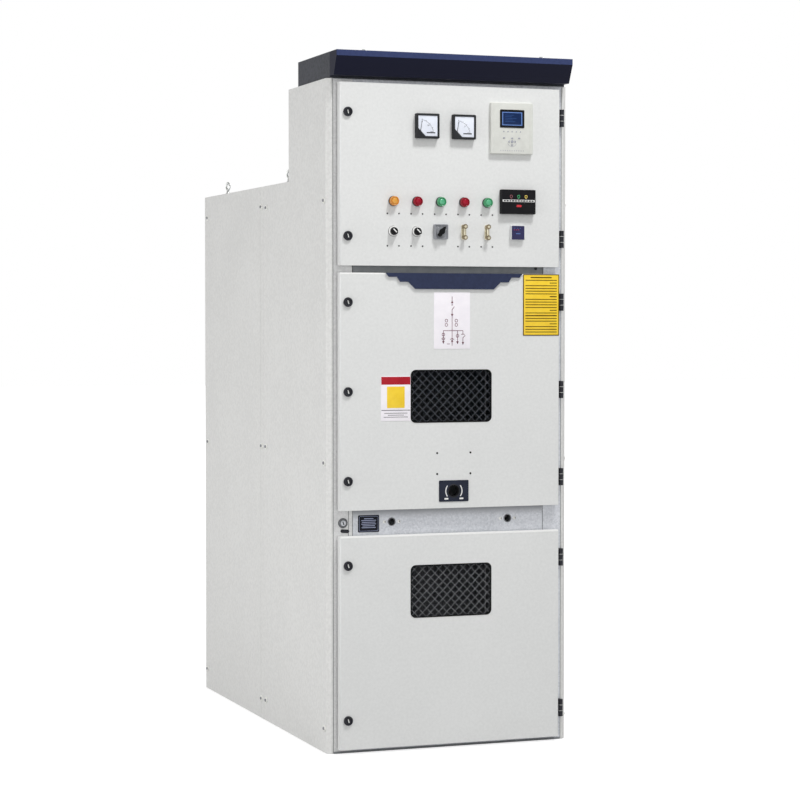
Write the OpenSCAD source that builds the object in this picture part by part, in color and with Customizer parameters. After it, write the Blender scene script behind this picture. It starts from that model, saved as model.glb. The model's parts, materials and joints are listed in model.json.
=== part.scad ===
// Metal-clad switchgear panel for a vacuum circuit breaker: a folded sheet steel cabinet with
// three side-hinged front doors, a tall instrument box at the front and a lower rear part.
// Millimetres. +Z is up, the doors face -Y, +X is to the right of someone facing the doors.
// The origin is on the floor, in the middle of the footprint.

/* [Cabinet] */
// Width across the end panels
cab_w = 800; // [720:5:1000]
// Depth from the front frame to the rear covers
cab_d = 1400; // [1300:10:1700]
// Height of the lower rear part
rear_h = 1777; // [1700:1:1900]
// Depth of the tall front part
tall_d = 388; // [340:1:480]
// Thickness of the end panels and rear covers
panel_t = 2.5; // [2:0.1:4]
// Thickness of the inner sheets, rails and posts
sheet_t = 2; // [1.5:0.1:3]
// Width of the bevel down the front edge of an end panel
bevel_w = 13; // [6:1:20]
// Width of the flat lip between that bevel and the front post
lip_w = 6; // [4:1:10]
// Distance of the joint between the end panels in front of the middle of the cabinet
seam_y = 30; // [0:1:80]
// Gap of that joint
seam_gap = 2; // [1:0.5:4]
// Width of the joggled strip beside that joint
joggle_w = 35; // [20:1:60]
// Width of the groove that marks the joggle
groove_w = 2; // [1:0.5:4]
// Depth of that groove
groove_t = 1; // [0.5:0.1:1.2]

/* [Front frame] */
// Width of a front post
post_w = 64; // [50:1:80]
// Depth of the posts and rails
post_d = 40; // [30:1:50]
// Height of the rail over the instrument door
top_rail_h = 50; // [40:1:70]
// Height of the rail between the upper two doors
upper_rail_h = 60; // [50:1:80]
// How far the band rail reaches behind the doors above and below it
band_overlap = 30; // [20:1:40]
// Height of the sill under the lowest door
sill_h = 62; // [50:1:80]

/* [Base and rear] */
// Height of the base channels
base_h = 60; // [50:1:100]
// Width of the base channels' flanges
base_w = 70; // [60:1:90]
// Thickness of the base channels
base_t = 5; // [4:0.5:8]
// Radius of an anchor hole
anchor_r = 9; // [6:0.5:11]
// Distance of the anchor holes from the cabinet's middle, front and back
anchor_y = 600; // [500:5:610]
// Width of a rear corner post
rear_post_w = 50; // [40:1:60]
// Depth of a rear corner post
rear_post_d = 38; // [30:1:50]
// Depth of a rear cover's folded edge
cover_d = 22; // [15:1:30]
// Height of the joint between the two rear covers
cover_split_z = 900; // [700:5:1100]
// Gap between the rear covers
cover_gap = 2; // [1:0.5:4]
// Width of a folded lip on doors and covers
fold_lip = 14; // [8:1:20]
// Distance of the relief plates on the rear roof from the ends of the cabinet
relief_side = 100; // [90:5:140]
// Length of one relief plate, front to back
relief_l = 280; // [200:5:300]
// Gap between the relief plates
relief_gap = 36; // [20:1:60]
// Number of relief plates
relief_count = 3; // [1:1:3]
// Distance of the first relief plate behind the tall part
relief_inset = 40; // [20:1:60]

/* [Lifting eyes] */
// Distance of the eyes from the end panels
eye_inset = 30; // [25:1:50]
// Distance of the front eyes behind the tall part
eye_front = 90; // [60:5:200]
// Distance of the rear eyes from the back of the cabinet
eye_rear = 200; // [100:5:300]
// Radius of the eye's ring, to the middle of its bar
eye_ring_r = 12; // [10:1:20]
// Radius of the eye's bar
eye_bar_r = 4; // [3:0.5:6]
// Radius of the eye's collar
eye_collar_r = 9; // [8:0.5:15]
// Height of the eye's collar
eye_collar_h = 5; // [4:0.5:10]
// Radius of the eye's neck
eye_neck_r = 5; // [4:0.5:7]
// Height of the eye's neck, to the bottom of the ring's middle line
eye_neck_h = 18; // [12:1:24]

/* [Header] */
// Distance of the header's ends from the ends of the cabinet
header_inset = 10; // [5:1:60]
// Height of the wireway box on the roof
header_h = 80; // [60:1:120]
// Depth of the wireway box
wireway_d = 318; // [200:1:330]
// How far the brow stands out from the front frame
brow_out = 65; // [40:1:90]
// Height of the brow's upright band
brow_band = 18; // [10:1:30]
// How far the brow's sloping face runs back
brow_rake = 27; // [15:1:32]
// Gap between the roof and the brow's lower edge
brow_gap = 6; // [3:1:15]

/* [Doors] */
// Distance of the doors' free edges from the left end of the cabinet
door_free_inset = 32; // [28:1:50]
// Distance of the doors' hinged edges from the right end of the cabinet
door_hinge_inset = 38; // [34:1:50]
// How far the door faces stand in front of the frame
door_out = 28; // [24:1:40]
// Running gap between a closed door and the frame
door_gap_y = 5; // [5:0.5:8]
// Radius of the doors' upright front edges
door_edge_r = 3; // [1:0.5:5]
// Height of the lowest door's lower edge above the floor
cable_door_z = 15; // [10:1:30]
// Height of the cable door
cable_door_h = 656; // [600:1:750]
// Height of the band between the cable door and the breaker door
band_h = 79; // [60:1:110]
// Height of the breaker door
breaker_door_h = 728; // [680:1:800]
// Gap between the breaker door and the instrument door
door_gap_z = 22; // [15:1:30]
// Height of the instrument door
instrument_door_h = 557; // [520:1:640]
// Margin of the roof above the instrument door
roof_margin = 13; // [8:1:30]

/* [Hinges] */
// Distance of the hinge pins from the right end of the cabinet
hinge_inset = 25; // [23:0.5:27]
// Radius of a hinge knuckle
knuckle_r = 8; // [6:0.5:8]
// Radius of a hinge pin
pin_r = 4; // [3:0.25:5]
// Running clearance round a hinge pin
pin_clear = 0.08; // [0.05:0.01:0.15]
// Height of one knuckle
knuckle_h = 17; // [12:1:24]
// Gap between knuckles
knuckle_gap = 1.5; // [1:0.1:3]
// Width of a hinge bracket's web
hinge_web_w = 8; // [6:0.5:9]
// Thickness of the arm that a door hangs on
hinge_arm_t = 10; // [6:0.5:12]
// Distance of the end hinges from a door's upper and lower edges
hinge_end = 88; // [60:1:120]

/* [Locks] */
// Radius of a door lock's head
lock_r = 14.5; // [10:0.5:18]
// How far a lock's head stands out
lock_h = 7; // [4:0.5:10]
// Radius of the lock's barrel
lock_barrel_r = 10; // [6:0.5:11]
// Distance of the locks from a door's free edge
lock_inset = 26; // [22:1:40]
// Distance of the end locks from a door's upper and lower edges
lock_end = 90; // [60:1:120]
// Width of a lock's key slot
lock_slot = 4; // [2:0.5:6]

/* [Windows] */
// Width of a door window
window_w = 268; // [220:1:300]
// Height of a door window
window_h = 162; // [120:1:180]
// Corner radius of a window
window_r = 16; // [6:1:30]
// Thickness of the glass
glass_t = 4; // [3:0.5:6]
// How far the glass reaches behind the door sheet
glass_lap = 12; // [6:1:20]
// Height of the breaker window's middle above its door's lower edge
breaker_window_z = 348; // [310:1:400]
// Height of the cable window's middle above its door's lower edge
cable_window_z = 479; // [400:1:520]

/* [Instruments] */
// Height of the meter row below the instrument door's upper edge
meter_drop = 127; // [110:1:150]
// Side of a meter's square bezel
meter_side = 76; // [60:1:90]
// How far a meter stands out
meter_h = 16; // [8:1:25]
// Width of the meter's bezel round its dial
meter_rim = 6; // [4:1:12]
// Depth of the dial below the bezel's face
meter_recess = 2; // [1:0.5:4]
// Side of the meter's closed corner, where its movement sits
meter_corner = 24; // [16:1:30]
// Length of the meter's pointer
pointer_l = 40; // [30:1:46]
// Angle of the pointer at rest, from the dial's lower edge
pointer_a = 78; // [0:1:90]
// Distance of the left meter from the door's middle line
meter_left_x = -83; // [-100:1:-75]
// Distance of the right meter from the door's middle line
meter_right_x = 38; // [36:1:44]
// Radius of the meter's case behind the door
meter_case_r = 30; // [20:1:34]
// Width of the protection relay's front
relay_w = 142; // [120:1:150]
// Height of the protection relay's front
relay_h = 160; // [130:1:170]
// How far the relay stands out
relay_out = 12; // [6:1:20]
// Distance of the relay from the door's middle line
relay_x = 198; // [175:1:200]
// Width of the relay's screen
screen_w = 84; // [60:1:100]
// Height of the relay's screen
screen_h = 57; // [40:1:70]
// Height of the screen's middle above the relay's middle
screen_up = 30; // [20:1:36]
// Depth of the screen below the relay's face
screen_recess = 1.5; // [1:0.5:4]
// Radius of the relay's round keypad
pad_r = 16; // [12:1:20]
// Depth of the keypad's middle below the relay's middle
pad_drop = 41; // [36:1:50]
// How far keys and buttons stand out of their faces
key_rise = 1.5; // [0.5:0.25:3]
// Distance of the relay's side grooves from its edges
rib_inset = 9; // [6:1:14]
// Radius of the corners of the instruments' bezels
bezel_r = 3; // [2:0.5:6]
// Width of the bevel round the instruments' front edges
bezel_bevel = 1.5; // [1:0.25:3]
// Depth of the relay's case behind the door
relay_case_d = 100; // [60:5:120]
// Height of the lamp row above the instrument door's lower edge
lamp_z = 198; // [185:1:215]
// Height of the switch row above the instrument door's lower edge
switch_z = 106; // [90:1:115]
// Distance of the first column of lamps and switches from the door's middle line
column_x = -192; // [-205:1:-190]
// Pitch of the columns
column_pitch = 77.5; // [70:0.5:80]
// Radius of a lamp's lens
lamp_r = 14.5; // [12:0.5:18]
// How far a lamp stands out
lamp_h = 20; // [16:1:30]
// Height of the flange of the lamps and switches
lamp_flange_h = 5; // [3:0.5:8]
// Radius of the barrel that lamps and switches pass through the door with
barrel_r = 11; // [8:0.5:11.5]
// Length of that barrel behind the door
barrel_d = 45; // [30:1:60]
// How far the knobs of the selector switches stand out
knob_h = 22; // [18:1:30]
// Angle that the selector switches' grips are turned to
selector_a = -45; // [-90:5:90]
// Angle that the cam switch's handle is turned to
cam_a = -20; // [-90:5:90]
// Side of the cam switch's plate
cam_side = 46; // [40:1:60]
// Height of a test link
link_h = 48; // [36:1:60]
// Width of a test link
link_w = 15; // [10:1:20]
// Distance of each of a link's screws from its middle
link_gap = 17; // [12:0.5:20]
// How far the links stand out
link_out = 18; // [12:1:24]
// Radius of a link's screws
link_screw_r = 4; // [3:0.5:6]
// Width of the voltage display
display_w = 116; // [100:1:130]
// Height of the voltage display
display_h = 76; // [60:1:84]
// Height of the display's middle above the lamp row
display_up = 4; // [0:1:10]
// Distance between the display's three windows
phase_pitch = 25; // [20:1:32]
// Height of those windows above the display's middle
phase_up = 18; // [12:1:24]
// Radius of one of those windows
phase_r = 5; // [3:0.5:7]
// Width of the display's test button
button_w = 16; // [10:1:24]
// Depth of that button below the display's middle
button_drop = 13; // [10:1:20]
// How far the display stands out
display_out = 16; // [8:1:24]
// Distance of the display and the controller from the door's middle line
display_x = 219; // [205:1:225]
// Side of the heater controller
control_side = 46; // [40:1:52]
// How far the controller stands out
control_out = 12; // [6:1:20]
// Clearance of the cases in their cut-outs
case_clear = 0.3; // [0.2:0.05:1]
// How much smaller a cut-out is than the front that covers it, on each side
cut_lap = 6; // [4:0.5:9]

/* [Breaker door fittings] */
// Width of the plate round the racking crank's hole
crank_plate_w = 98; // [70:1:120]
// Height of that plate
crank_plate_h = 66; // [52:1:90]
// Thickness of that plate
crank_plate_t = 2; // [1:0.25:4]
// Radius of the racking crank's hole
crank_r = 19.5; // [12:0.5:22]
// Height of that hole above the door's lower edge
crank_z = 53; // [46:1:80]
// Distance of that hole from the door's middle line
crank_x = 8; // [-20:1:20]
// Half the width of the stepped crest along the door's upper edge
crest_half_w = 227; // [180:1:260]
// Distance of the crest's middle from the door's middle line
crest_x = 10; // [-20:1:20]
// Height of the crest's upper step
crest_step = 12; // [8:0.5:20]
// Height of the crest's middle step
crest_mid_step = 15; // [8:0.5:20]
// Height of the crest's lower step
crest_low_step = 22; // [12:0.5:30]
// Width of one step of the crest
crest_run = 27; // [15:1:40]
// How far the ends of the upper two steps slope
crest_slope = 10; // [5:1:25]
// How far the ends of the lower step slope
crest_low_slope = 23; // [5:1:40]
// Thickness of the crest
crest_t = 6; // [2:0.5:10]

/* [Band fittings] */
// Radius of the operating holes
operate_r = 11.5; // [6:0.5:16]
// Distance of the left operating hole from the cabinet's middle
operate_left_x = -190; // [-240:1:-120]
// Distance of the right operating hole from the cabinet's middle
operate_right_x = 198; // [120:1:240]
// Radius of the key lock's head
key_r = 14; // [10:0.5:18]
// Distance of the key lock from the left end of the cabinet
key_inset = 51; // [42:1:60]
// How far the key lock stands out
key_h = 6; // [3:0.5:10]
// Width of the ring round the key lock's plug
key_rim = 4; // [2:0.5:6]
// Width of the key lock's cover
key_flap_w = 16; // [10:1:24]
// Height of the key lock's cover
key_flap_h = 8; // [5:1:12]
// How far the cover hangs to the right of the lock
key_flap_x = 10; // [0:1:12]

/* [Hidden] */
$fn = 48;
over = 1;

// Planes of the cabinet
half_w = cab_w / 2;
inner_w = half_w - panel_t;
front_y = -cab_d / 2;
back_y = cab_d / 2;
tall_back_y = front_y + tall_d;
header_half_w = half_w - header_inset;
relief_half_w = half_w - relief_side;
fold_half_angle = 45 / 2;
frame_back_y = front_y + post_d;
panel_seam_y = -seam_y;
post_out_x = half_w - bevel_w - lip_w;
post_in_x = post_out_x - post_w;
bevel_back_y = front_y + bevel_w + panel_t;

// Door edges, from the floor up
door_left = -half_w + door_free_inset;
door_right = half_w - door_hinge_inset;
door_mid = (door_left + door_right) / 2;
door_face = front_y - door_out;
door_back = front_y - door_gap_y;
skin_back = door_face + sheet_t;
cable_z0 = cable_door_z;
cable_z1 = cable_z0 + cable_door_h;
breaker_z0 = cable_z1 + band_h;
breaker_z1 = breaker_z0 + breaker_door_h;
instrument_z0 = breaker_z1 + door_gap_z;
instrument_z1 = instrument_z0 + instrument_door_h;
front_h = instrument_z1 + roof_margin;
band_z = (cable_z1 + breaker_z0) / 2;
shelf_z = (breaker_z1 + instrument_z0) / 2;
under_roof = front_h - sheet_t;
under_rear_roof = rear_h - sheet_t;
floor_z = base_h + sheet_t;

// Hinge axis and the heights of each door's hinges and locks
hinge_x = half_w - hinge_inset;
hinge_y = (door_face + front_y) / 2;
hinge_half = 3 * knuckle_h / 2 + knuckle_gap;
instrument_hinge_z = [instrument_z0 + hinge_end, instrument_z1 - hinge_end];
breaker_hinge_z = [breaker_z0 + hinge_end, (breaker_z0 + breaker_z1) / 2, breaker_z1 - hinge_end];
cable_hinge_z = [cable_z0 + hinge_end, cable_z1 - hinge_end];
instrument_lock_z = [instrument_z0 + lock_end, instrument_z1 - lock_end];
breaker_lock_z = [breaker_z0 + lock_end, (breaker_z0 + breaker_z1) / 2, breaker_z1 - lock_end];
cable_lock_z = [cable_z0 + lock_end, cable_z1 - lock_end];

// Places on the instrument door
meter_row_z = instrument_z1 - meter_drop;
lamp_row_z = instrument_z0 + lamp_z;
switch_row_z = instrument_z0 + switch_z;
display_z = lamp_row_z + display_up;
crank_hole_z = breaker_z0 + crank_z;
crank_hole_x = door_mid + crank_x;
header_top = front_h + header_h;
key_x = -half_w + key_inset;

function column(i) = door_mid + column_x + i * column_pitch;

// A box from its lower corner to its upper corner
module slab(x0, x1, y0, y1, z0, z1) {
    translate([x0, y0, z0]) cube([x1 - x0, y1 - y0, z1 - z0]);
}

// Turns a shape drawn on the XY plane so that its +Z points out of the doors
module facing(x, y, z) {
    translate([x, y, z]) rotate([90, 0, 0]) children();
}

// A flat rectangle with round corners
module round_rect(w, h, r) {
    square([w - 2 * r, h], center = true);
    square([w, h - 2 * r], center = true);
    for (i = [-1, 1], j = [-1, 1]) translate([i * (w / 2 - r), j * (h / 2 - r)]) circle(r);
}

// A plate centred on the Z axis, standing on the XY plane
module box_plate(w, h, t) {
    translate([-w / 2, -h / 2, 0]) cube([w, h, t]);
}

// The same plate with round corners
module round_plate(w, h, t, r) {
    linear_extrude(t) round_rect(w, h, r);
}

// Cross-section of a plate with both front edges bevelled
module bevel_profile(w, t, c) {
    polygon([[-w / 2, 0], [w / 2, 0], [w / 2, t - c], [w / 2 - c, t], [c - w / 2, t], [-w / 2, t - c]]);
}

// A moulded front: round corners and a bevel all round its face
module bevel_plate(w, h, t) {
    intersection() {
        round_plate(w, h, t, bezel_r);
        rotate([90, 0, 0]) linear_extrude(h + over, center = true) bevel_profile(w, t, bezel_bevel);
        rotate([90, 0, 90]) linear_extrude(w + over, center = true) bevel_profile(h, t, bezel_bevel);
    }
}

// A channel rail between the front posts, open towards the back
module rail(z0, z1) {
    difference() {
        slab(-post_in_x, post_in_x, front_y, frame_back_y, z0, z1);
        slab(-post_in_x - over, post_in_x + over, front_y + sheet_t, frame_back_y + over,
             z0 + sheet_t, z1 - sheet_t);
    }
}

// A front post: an upright channel, open towards the back
module post() {
    difference() {
        slab(post_in_x, post_out_x, front_y, frame_back_y, 0, under_roof);
        slab(post_in_x + sheet_t, post_out_x - sheet_t, front_y + sheet_t, frame_back_y + over,
             -over, under_roof + over);
    }
}

// Plan of an end panel's front edge: side, bevel and lip, folded from one sheet
module panel_plan(y_end) {
    fold = panel_t * tan(fold_half_angle);
    polygon([
        [half_w, y_end], [half_w, front_y + bevel_w], [half_w - bevel_w, front_y],
        [post_out_x, front_y], [post_out_x, front_y + panel_t],
        [half_w - bevel_w - fold, front_y + panel_t], [inner_w, front_y + bevel_w + fold],
        [inner_w, y_end]
    ]);
}

// The front half of an end: one panel, cut down to the rear part's height behind the tall part
module side_front() {
    difference() {
        linear_extrude(front_h) panel_plan(panel_seam_y - seam_gap / 2);
        slab(inner_w - over, half_w + over, tall_back_y, panel_seam_y, rear_h, front_h + over);
    }
}

// The rear half of an end, with the groove of its joggle
module side_rear() {
    difference() {
        slab(inner_w, half_w, panel_seam_y + seam_gap / 2, back_y, 0, rear_h);
        slab(half_w - groove_t, half_w + over, panel_seam_y + joggle_w,
             panel_seam_y + joggle_w + groove_w, -over, rear_h + over);
    }
}

// A door: a folded pan with round upright edges and a lip all round its open back
module door_pan(z0, z1) {
    r = door_edge_r;
    difference() {
        translate([0, 0, z0]) linear_extrude(z1 - z0) {
            translate([door_left + r, door_face]) square([door_right - door_left - 2 * r, r]);
            translate([door_left, door_face + r])
                square([door_right - door_left, door_back - door_face - r]);
            translate([door_left + r, door_face + r]) circle(r);
            translate([door_right - r, door_face + r]) circle(r);
        }
        slab(door_left + sheet_t, door_right - sheet_t, skin_back, door_back - sheet_t,
             z0 + sheet_t, z1 - sheet_t);
        slab(door_left + fold_lip, door_right - fold_lip, skin_back, door_back + over,
             z0 + fold_lip, z1 - fold_lip);
    }
}

// The window's opening through a door sheet
module window_cut(z) {
    facing(door_mid, skin_back + over, z)
        linear_extrude(sheet_t + 2 * over) round_rect(window_w, window_h, window_r);
}

// The pane behind that opening
module window_pane(z) {
    w = window_w + 2 * glass_lap;
    h = window_h + 2 * glass_lap;
    facing(door_mid, skin_back + glass_t, z)
        linear_extrude(glass_t) round_rect(w, h, window_r);
}

// Round cut through a door sheet
module skin_hole(x, z, r) {
    facing(x, skin_back + over, z) cylinder(h = sheet_t + 2 * over, r = r);
}

// Square cut through a door sheet
module skin_slot(x, z, w, h) {
    facing(x, skin_back + over, z) box_plate(w, h, sheet_t + 2 * over);
}

// A quarter-turn lock: round head with a key slot, and its barrel
module lock_head() {
    difference() {
        rotate_extrude() polygon([
            [0, -door_out + door_gap_y + sheet_t], [lock_barrel_r, -door_out + door_gap_y + sheet_t],
            [lock_barrel_r, 0], [lock_r, 0], [lock_r, lock_h - sheet_t], [lock_r - sheet_t, lock_h],
            [0, lock_h]
        ]);
        translate([-lock_slot / 2, -lock_barrel_r / 2, lock_h - sheet_t])
            cube([lock_slot, lock_barrel_r, sheet_t + over]);
    }
}

module locks(heights) {
    for (z = heights) facing(door_left + lock_inset, door_face, z) lock_head();
}

module lock_holes(heights) {
    for (z = heights) skin_hole(door_left + lock_inset, z, lock_barrel_r + case_clear);
}

// The fixed half of a hinge: foot, two knuckles on webs, and the pin through them
module hinge_bracket(z) {
    translate([hinge_x, hinge_y, z - hinge_half]) {
        cylinder(h = 2 * hinge_half, r = pin_r);
        for (dz = [0, 2 * hinge_half - knuckle_h]) translate([0, 0, dz]) {
            cylinder(h = knuckle_h, r = knuckle_r);
            translate([-hinge_web_w / 2, 0, 0])
                cube([hinge_web_w, front_y - hinge_y, knuckle_h]);
        }
    }
    slab(hinge_x - knuckle_r, post_out_x, front_y - sheet_t, front_y, z - hinge_half, z + hinge_half);
}

// The moving half: a knuckle bored for the pin, and the arm to the door's edge
module hinge_leaf(z) {
    difference() {
        translate([0, 0, z - knuckle_h / 2]) {
            translate([hinge_x, hinge_y, 0]) cylinder(h = knuckle_h, r = knuckle_r);
            translate([door_right, hinge_y - hinge_arm_t / 2, 0])
                cube([hinge_x - door_right, hinge_arm_t, knuckle_h]);
        }
        translate([hinge_x, hinge_y, z - knuckle_h])
            cylinder(h = 2 * knuckle_h, r = pin_r + pin_clear);
    }
}

// Profile of a turned head: barrel, flange and a side that rounds over into the face
module head_profile(height, r, ease) {
    rim = r + sheet_t / 2;
    turn = [for (a = [0 : 15 : 90]) [r - ease + ease * cos(a), height - ease + ease * sin(a)]];
    polygon(concat(
        [[0, -barrel_d], [barrel_r, -barrel_d], [barrel_r, 0]],
        [[rim, 0], [rim, lamp_flange_h], [r, lamp_flange_h]],
        turn, [[0, height]]
    ));
}

// A signal lamp: barrel, flange and a lens with a rounded face
module lamp() {
    rotate_extrude() head_profile(lamp_h, lamp_r, lamp_r / 3);
}

module lamps(columns) {
    for (i = columns) facing(column(i), door_face, lamp_row_z) lamp();
}

// A selector switch: ring, round knob and a raised grip across the knob
module selector() {
    knob_r = lamp_r - sheet_t;
    rotate_extrude() head_profile(knob_h - lamp_flange_h, knob_r, sheet_t);
    cylinder(h = lamp_flange_h, r = lamp_r);
    intersection() {
        cylinder(h = knob_h, r = knob_r - sheet_t);
        rotate([0, 0, selector_a]) box_plate(knob_r * 2 / 3, 2 * knob_r, knob_h);
    }
}

// A test link: foot, two clamping screws with round heads, and the bar across them
module test_link() {
    round_plate(link_w, link_h, sheet_t, link_w / 3);
    for (s = [-1, 1]) translate([0, s * link_gap, 0]) {
        translate([0, 0, -barrel_d / 2]) cylinder(h = barrel_d / 2 + link_out, r = link_screw_r);
        translate([0, 0, link_out - lamp_flange_h])
            cylinder(h = lamp_flange_h, r = link_w / 2);
    }
    translate([0, 0, link_out / 2]) box_plate(link_screw_r * 2, link_gap * 2, sheet_t);
}

// A panel meter: moulded bezel round a sunk dial with one closed corner, pointer, and round case behind
module meter() {
    dial = meter_side / 2 - meter_rim;
    closed = meter_corner - dial;
    dial_z = meter_h - meter_recess;
    difference() {
        bevel_plate(meter_side, meter_side, meter_h);
        translate([0, 0, dial_z]) linear_extrude(meter_recess + over)
            polygon([[-dial, dial], [dial, dial], [dial, -dial], [closed, -dial], [-dial, closed]]);
    }
    translate([meter_rim - dial, meter_rim - dial, dial_z]) rotate([0, 0, pointer_a])
        linear_extrude(meter_recess / 2)
            polygon([[0, -meter_recess / 2], [pointer_l, 0], [0, meter_recess / 2]]);
    translate([0, 0, -barrel_d]) cylinder(h = barrel_d, r = meter_case_r);
}

// The base: four channels with their open sides inwards
module base_frame() color("dimgray") difference() {
    web_x = inner_w - base_t;
    open_x = inner_w - base_w;
    slab(-inner_w, inner_w, frame_back_y, back_y, 0, base_h);
    slab(-open_x, open_x, frame_back_y + base_w, back_y - base_w, -over, base_h + over);
    slab(-web_x, web_x, frame_back_y + base_t, back_y - base_t, base_t, base_h - base_t);
    anchor_holes(base_h);
}

// The four anchor holes, through all that lies up to a height
module anchor_holes(top) {
    for (i = [-1, 1], j = [-1, 1])
        translate([i * (inner_w - base_w / 2), j * anchor_y, -over])
            cylinder(h = top + 2 * over, r = anchor_r);
}

module floor_plate() color("silver") difference() {
    slab(-inner_w, inner_w, frame_back_y, back_y - cover_d, base_h, floor_z);
    anchor_holes(floor_z);
}

module left_post() color("lightgray") mirror([1, 0, 0]) post();

module right_post() color("lightgray") post();

module top_rail() color("lightgray") rail(under_roof - top_rail_h, under_roof);

module upper_rail() color("lightgray") rail(shelf_z - upper_rail_h / 2, shelf_z + upper_rail_h / 2);

module band_rail() color("lightgray") difference() {
    rail(cable_z1 - band_overlap, breaker_z0 + band_overlap);
    for (x = [operate_left_x, operate_right_x])
        facing(x, front_y + sheet_t + over, band_z) cylinder(h = sheet_t + 2 * over, r = operate_r);
}

module sill_rail() color("lightgray") rail(0, sill_h);

module left_side_front() color("gainsboro") mirror([1, 0, 0]) side_front();

module left_side_rear() color("gainsboro") mirror([1, 0, 0]) side_rear();

module right_side_front() color("gainsboro") side_front();

module right_side_rear() color("gainsboro") side_rear();

// The rear corner posts: angles that the rear covers are screwed to
module rear_posts() color("silver") for (s = [0, 1]) mirror([s, 0, 0]) difference() {
    x = inner_w - rear_post_w;
    y = back_y - cover_d;
    slab(x, inner_w, y - rear_post_d, y, floor_z, under_rear_roof);
    slab(x - over, inner_w - sheet_t, y - rear_post_d - over, y - sheet_t,
         floor_z - over, under_rear_roof + over);
}

// A rear cover: a shallow pan with its face to the back and a lip against the posts
module rear_cover(z0, z1) {
    difference() {
        slab(-inner_w, inner_w, back_y - cover_d, back_y, z0, z1);
        slab(-inner_w + panel_t, inner_w - panel_t, back_y - cover_d + panel_t, back_y - panel_t,
             z0 + panel_t, z1 - panel_t);
        slab(-inner_w + fold_lip, inner_w - fold_lip, back_y - cover_d - over, back_y - panel_t,
             z0 + fold_lip, z1 - fold_lip);
    }
}

module rear_covers() color("gainsboro") {
    rear_cover(base_h, cover_split_z - cover_gap / 2);
    rear_cover(cover_split_z + cover_gap / 2, under_rear_roof);
}

module rear_roof() color("gainsboro")
    slab(-inner_w, inner_w, tall_back_y, back_y, under_rear_roof, rear_h);

module relief_plates() color("silver") for (i = [0 : relief_count - 1]) {
    y = tall_back_y + relief_inset + i * (relief_l + relief_gap);
    slab(-relief_half_w, relief_half_w, y, y + relief_l, rear_h, rear_h + sheet_t);
}

// A lifting eye: collar, neck and a ring that lies front to back
module lifting_eye() {
    cylinder(h = eye_collar_h, r = eye_collar_r);
    cylinder(h = eye_neck_h, r = eye_neck_r);
    translate([0, 0, eye_neck_h + eye_ring_r]) rotate([90, 0, 90])
        rotate_extrude() translate([eye_ring_r, 0]) circle(eye_bar_r, $fn = 24);
}

module lifting_eyes() color("darkgray")
    for (i = [-1, 1], y = [tall_back_y + eye_front, back_y - eye_rear])
        translate([i * (half_w - eye_inset), y, rear_h]) lifting_eye();

// The roof of the tall part, notched at its front corners for the end panels' bevels
module instrument_roof() color("gainsboro") {
    slab(-post_out_x, post_out_x, front_y, bevel_back_y, under_roof, front_h);
    slab(-inner_w, inner_w, bevel_back_y, tall_back_y, under_roof, front_h);
}

module instrument_rear_wall() color("gainsboro")
    slab(-inner_w, inner_w, tall_back_y - sheet_t, tall_back_y, shelf_z + sheet_t, under_roof);

// The shelf under the instruments and the floor of the breaker compartment
module compartment_floors() color("silver") for (z = [shelf_z, band_z])
    slab(-inner_w, inner_w, frame_back_y, panel_seam_y, z, z + sheet_t);

module rear_partition() color("silver")
    slab(-inner_w, inner_w, panel_seam_y, panel_seam_y + sheet_t, floor_z, under_rear_roof);

// The wireway: a box with an open underside, on the roof behind the brow
module wireway_box() color("dimgray") difference() {
    back = front_y + wireway_d;
    inside = header_half_w - sheet_t;
    slab(-header_half_w, header_half_w, front_y, back, front_h, header_top);
    slab(-inside, inside, front_y + sheet_t, back - sheet_t, front_h - over, header_top - sheet_t);
}

// Outline of the brow seen from its end: top, upright band, sloping face and lower edge
module brow_outline(inset) {
    out_y = front_y - brow_out + inset;
    low_z = front_h + brow_gap + inset;
    low_y = front_y - brow_out + brow_rake + inset;
    back = inset > 0 ? over : 0;
    polygon([
        [front_y + back, header_top - inset], [out_y, header_top - inset],
        [out_y, header_top - brow_band], [low_y, low_z], [front_y + back, low_z]
    ]);
}

// Carries an outline in Y and Z along X
module along_x(half) {
    translate([-half, 0, 0]) rotate([90, 0, 90]) linear_extrude(2 * half) children();
}

module header_brow() color("midnightblue") difference() {
    along_x(header_half_w) brow_outline(0);
    along_x(header_half_w - sheet_t) brow_outline(sheet_t);
}

module hinge_brackets() color("black")
    for (z = concat(instrument_hinge_z, breaker_hinge_z, cable_hinge_z)) hinge_bracket(z);

// The key lock on the left post: a turned ring round a slotted plug, with its swung cover below
module key_lock() color("silver") {
    plug_h = key_h - sheet_t / 2;
    plug_r = key_r - key_rim;
    flap_z = band_z - key_r - key_flap_h / 2 + sheet_t;
    facing(key_x, front_y, band_z) difference() {
        rotate_extrude() polygon([
            [0, 0], [key_r, 0], [key_r, key_h / 2], [key_r - key_rim / 2, key_h], [plug_r, key_h],
            [plug_r, plug_h], [0, plug_h]
        ]);
        translate([0, 0, plug_h - sheet_t]) box_plate(lock_slot, key_r, sheet_t + over);
    }
    facing(key_x + key_flap_x, front_y, flap_z) round_plate(key_flap_w, key_flap_h, sheet_t, sheet_t);
}

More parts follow.
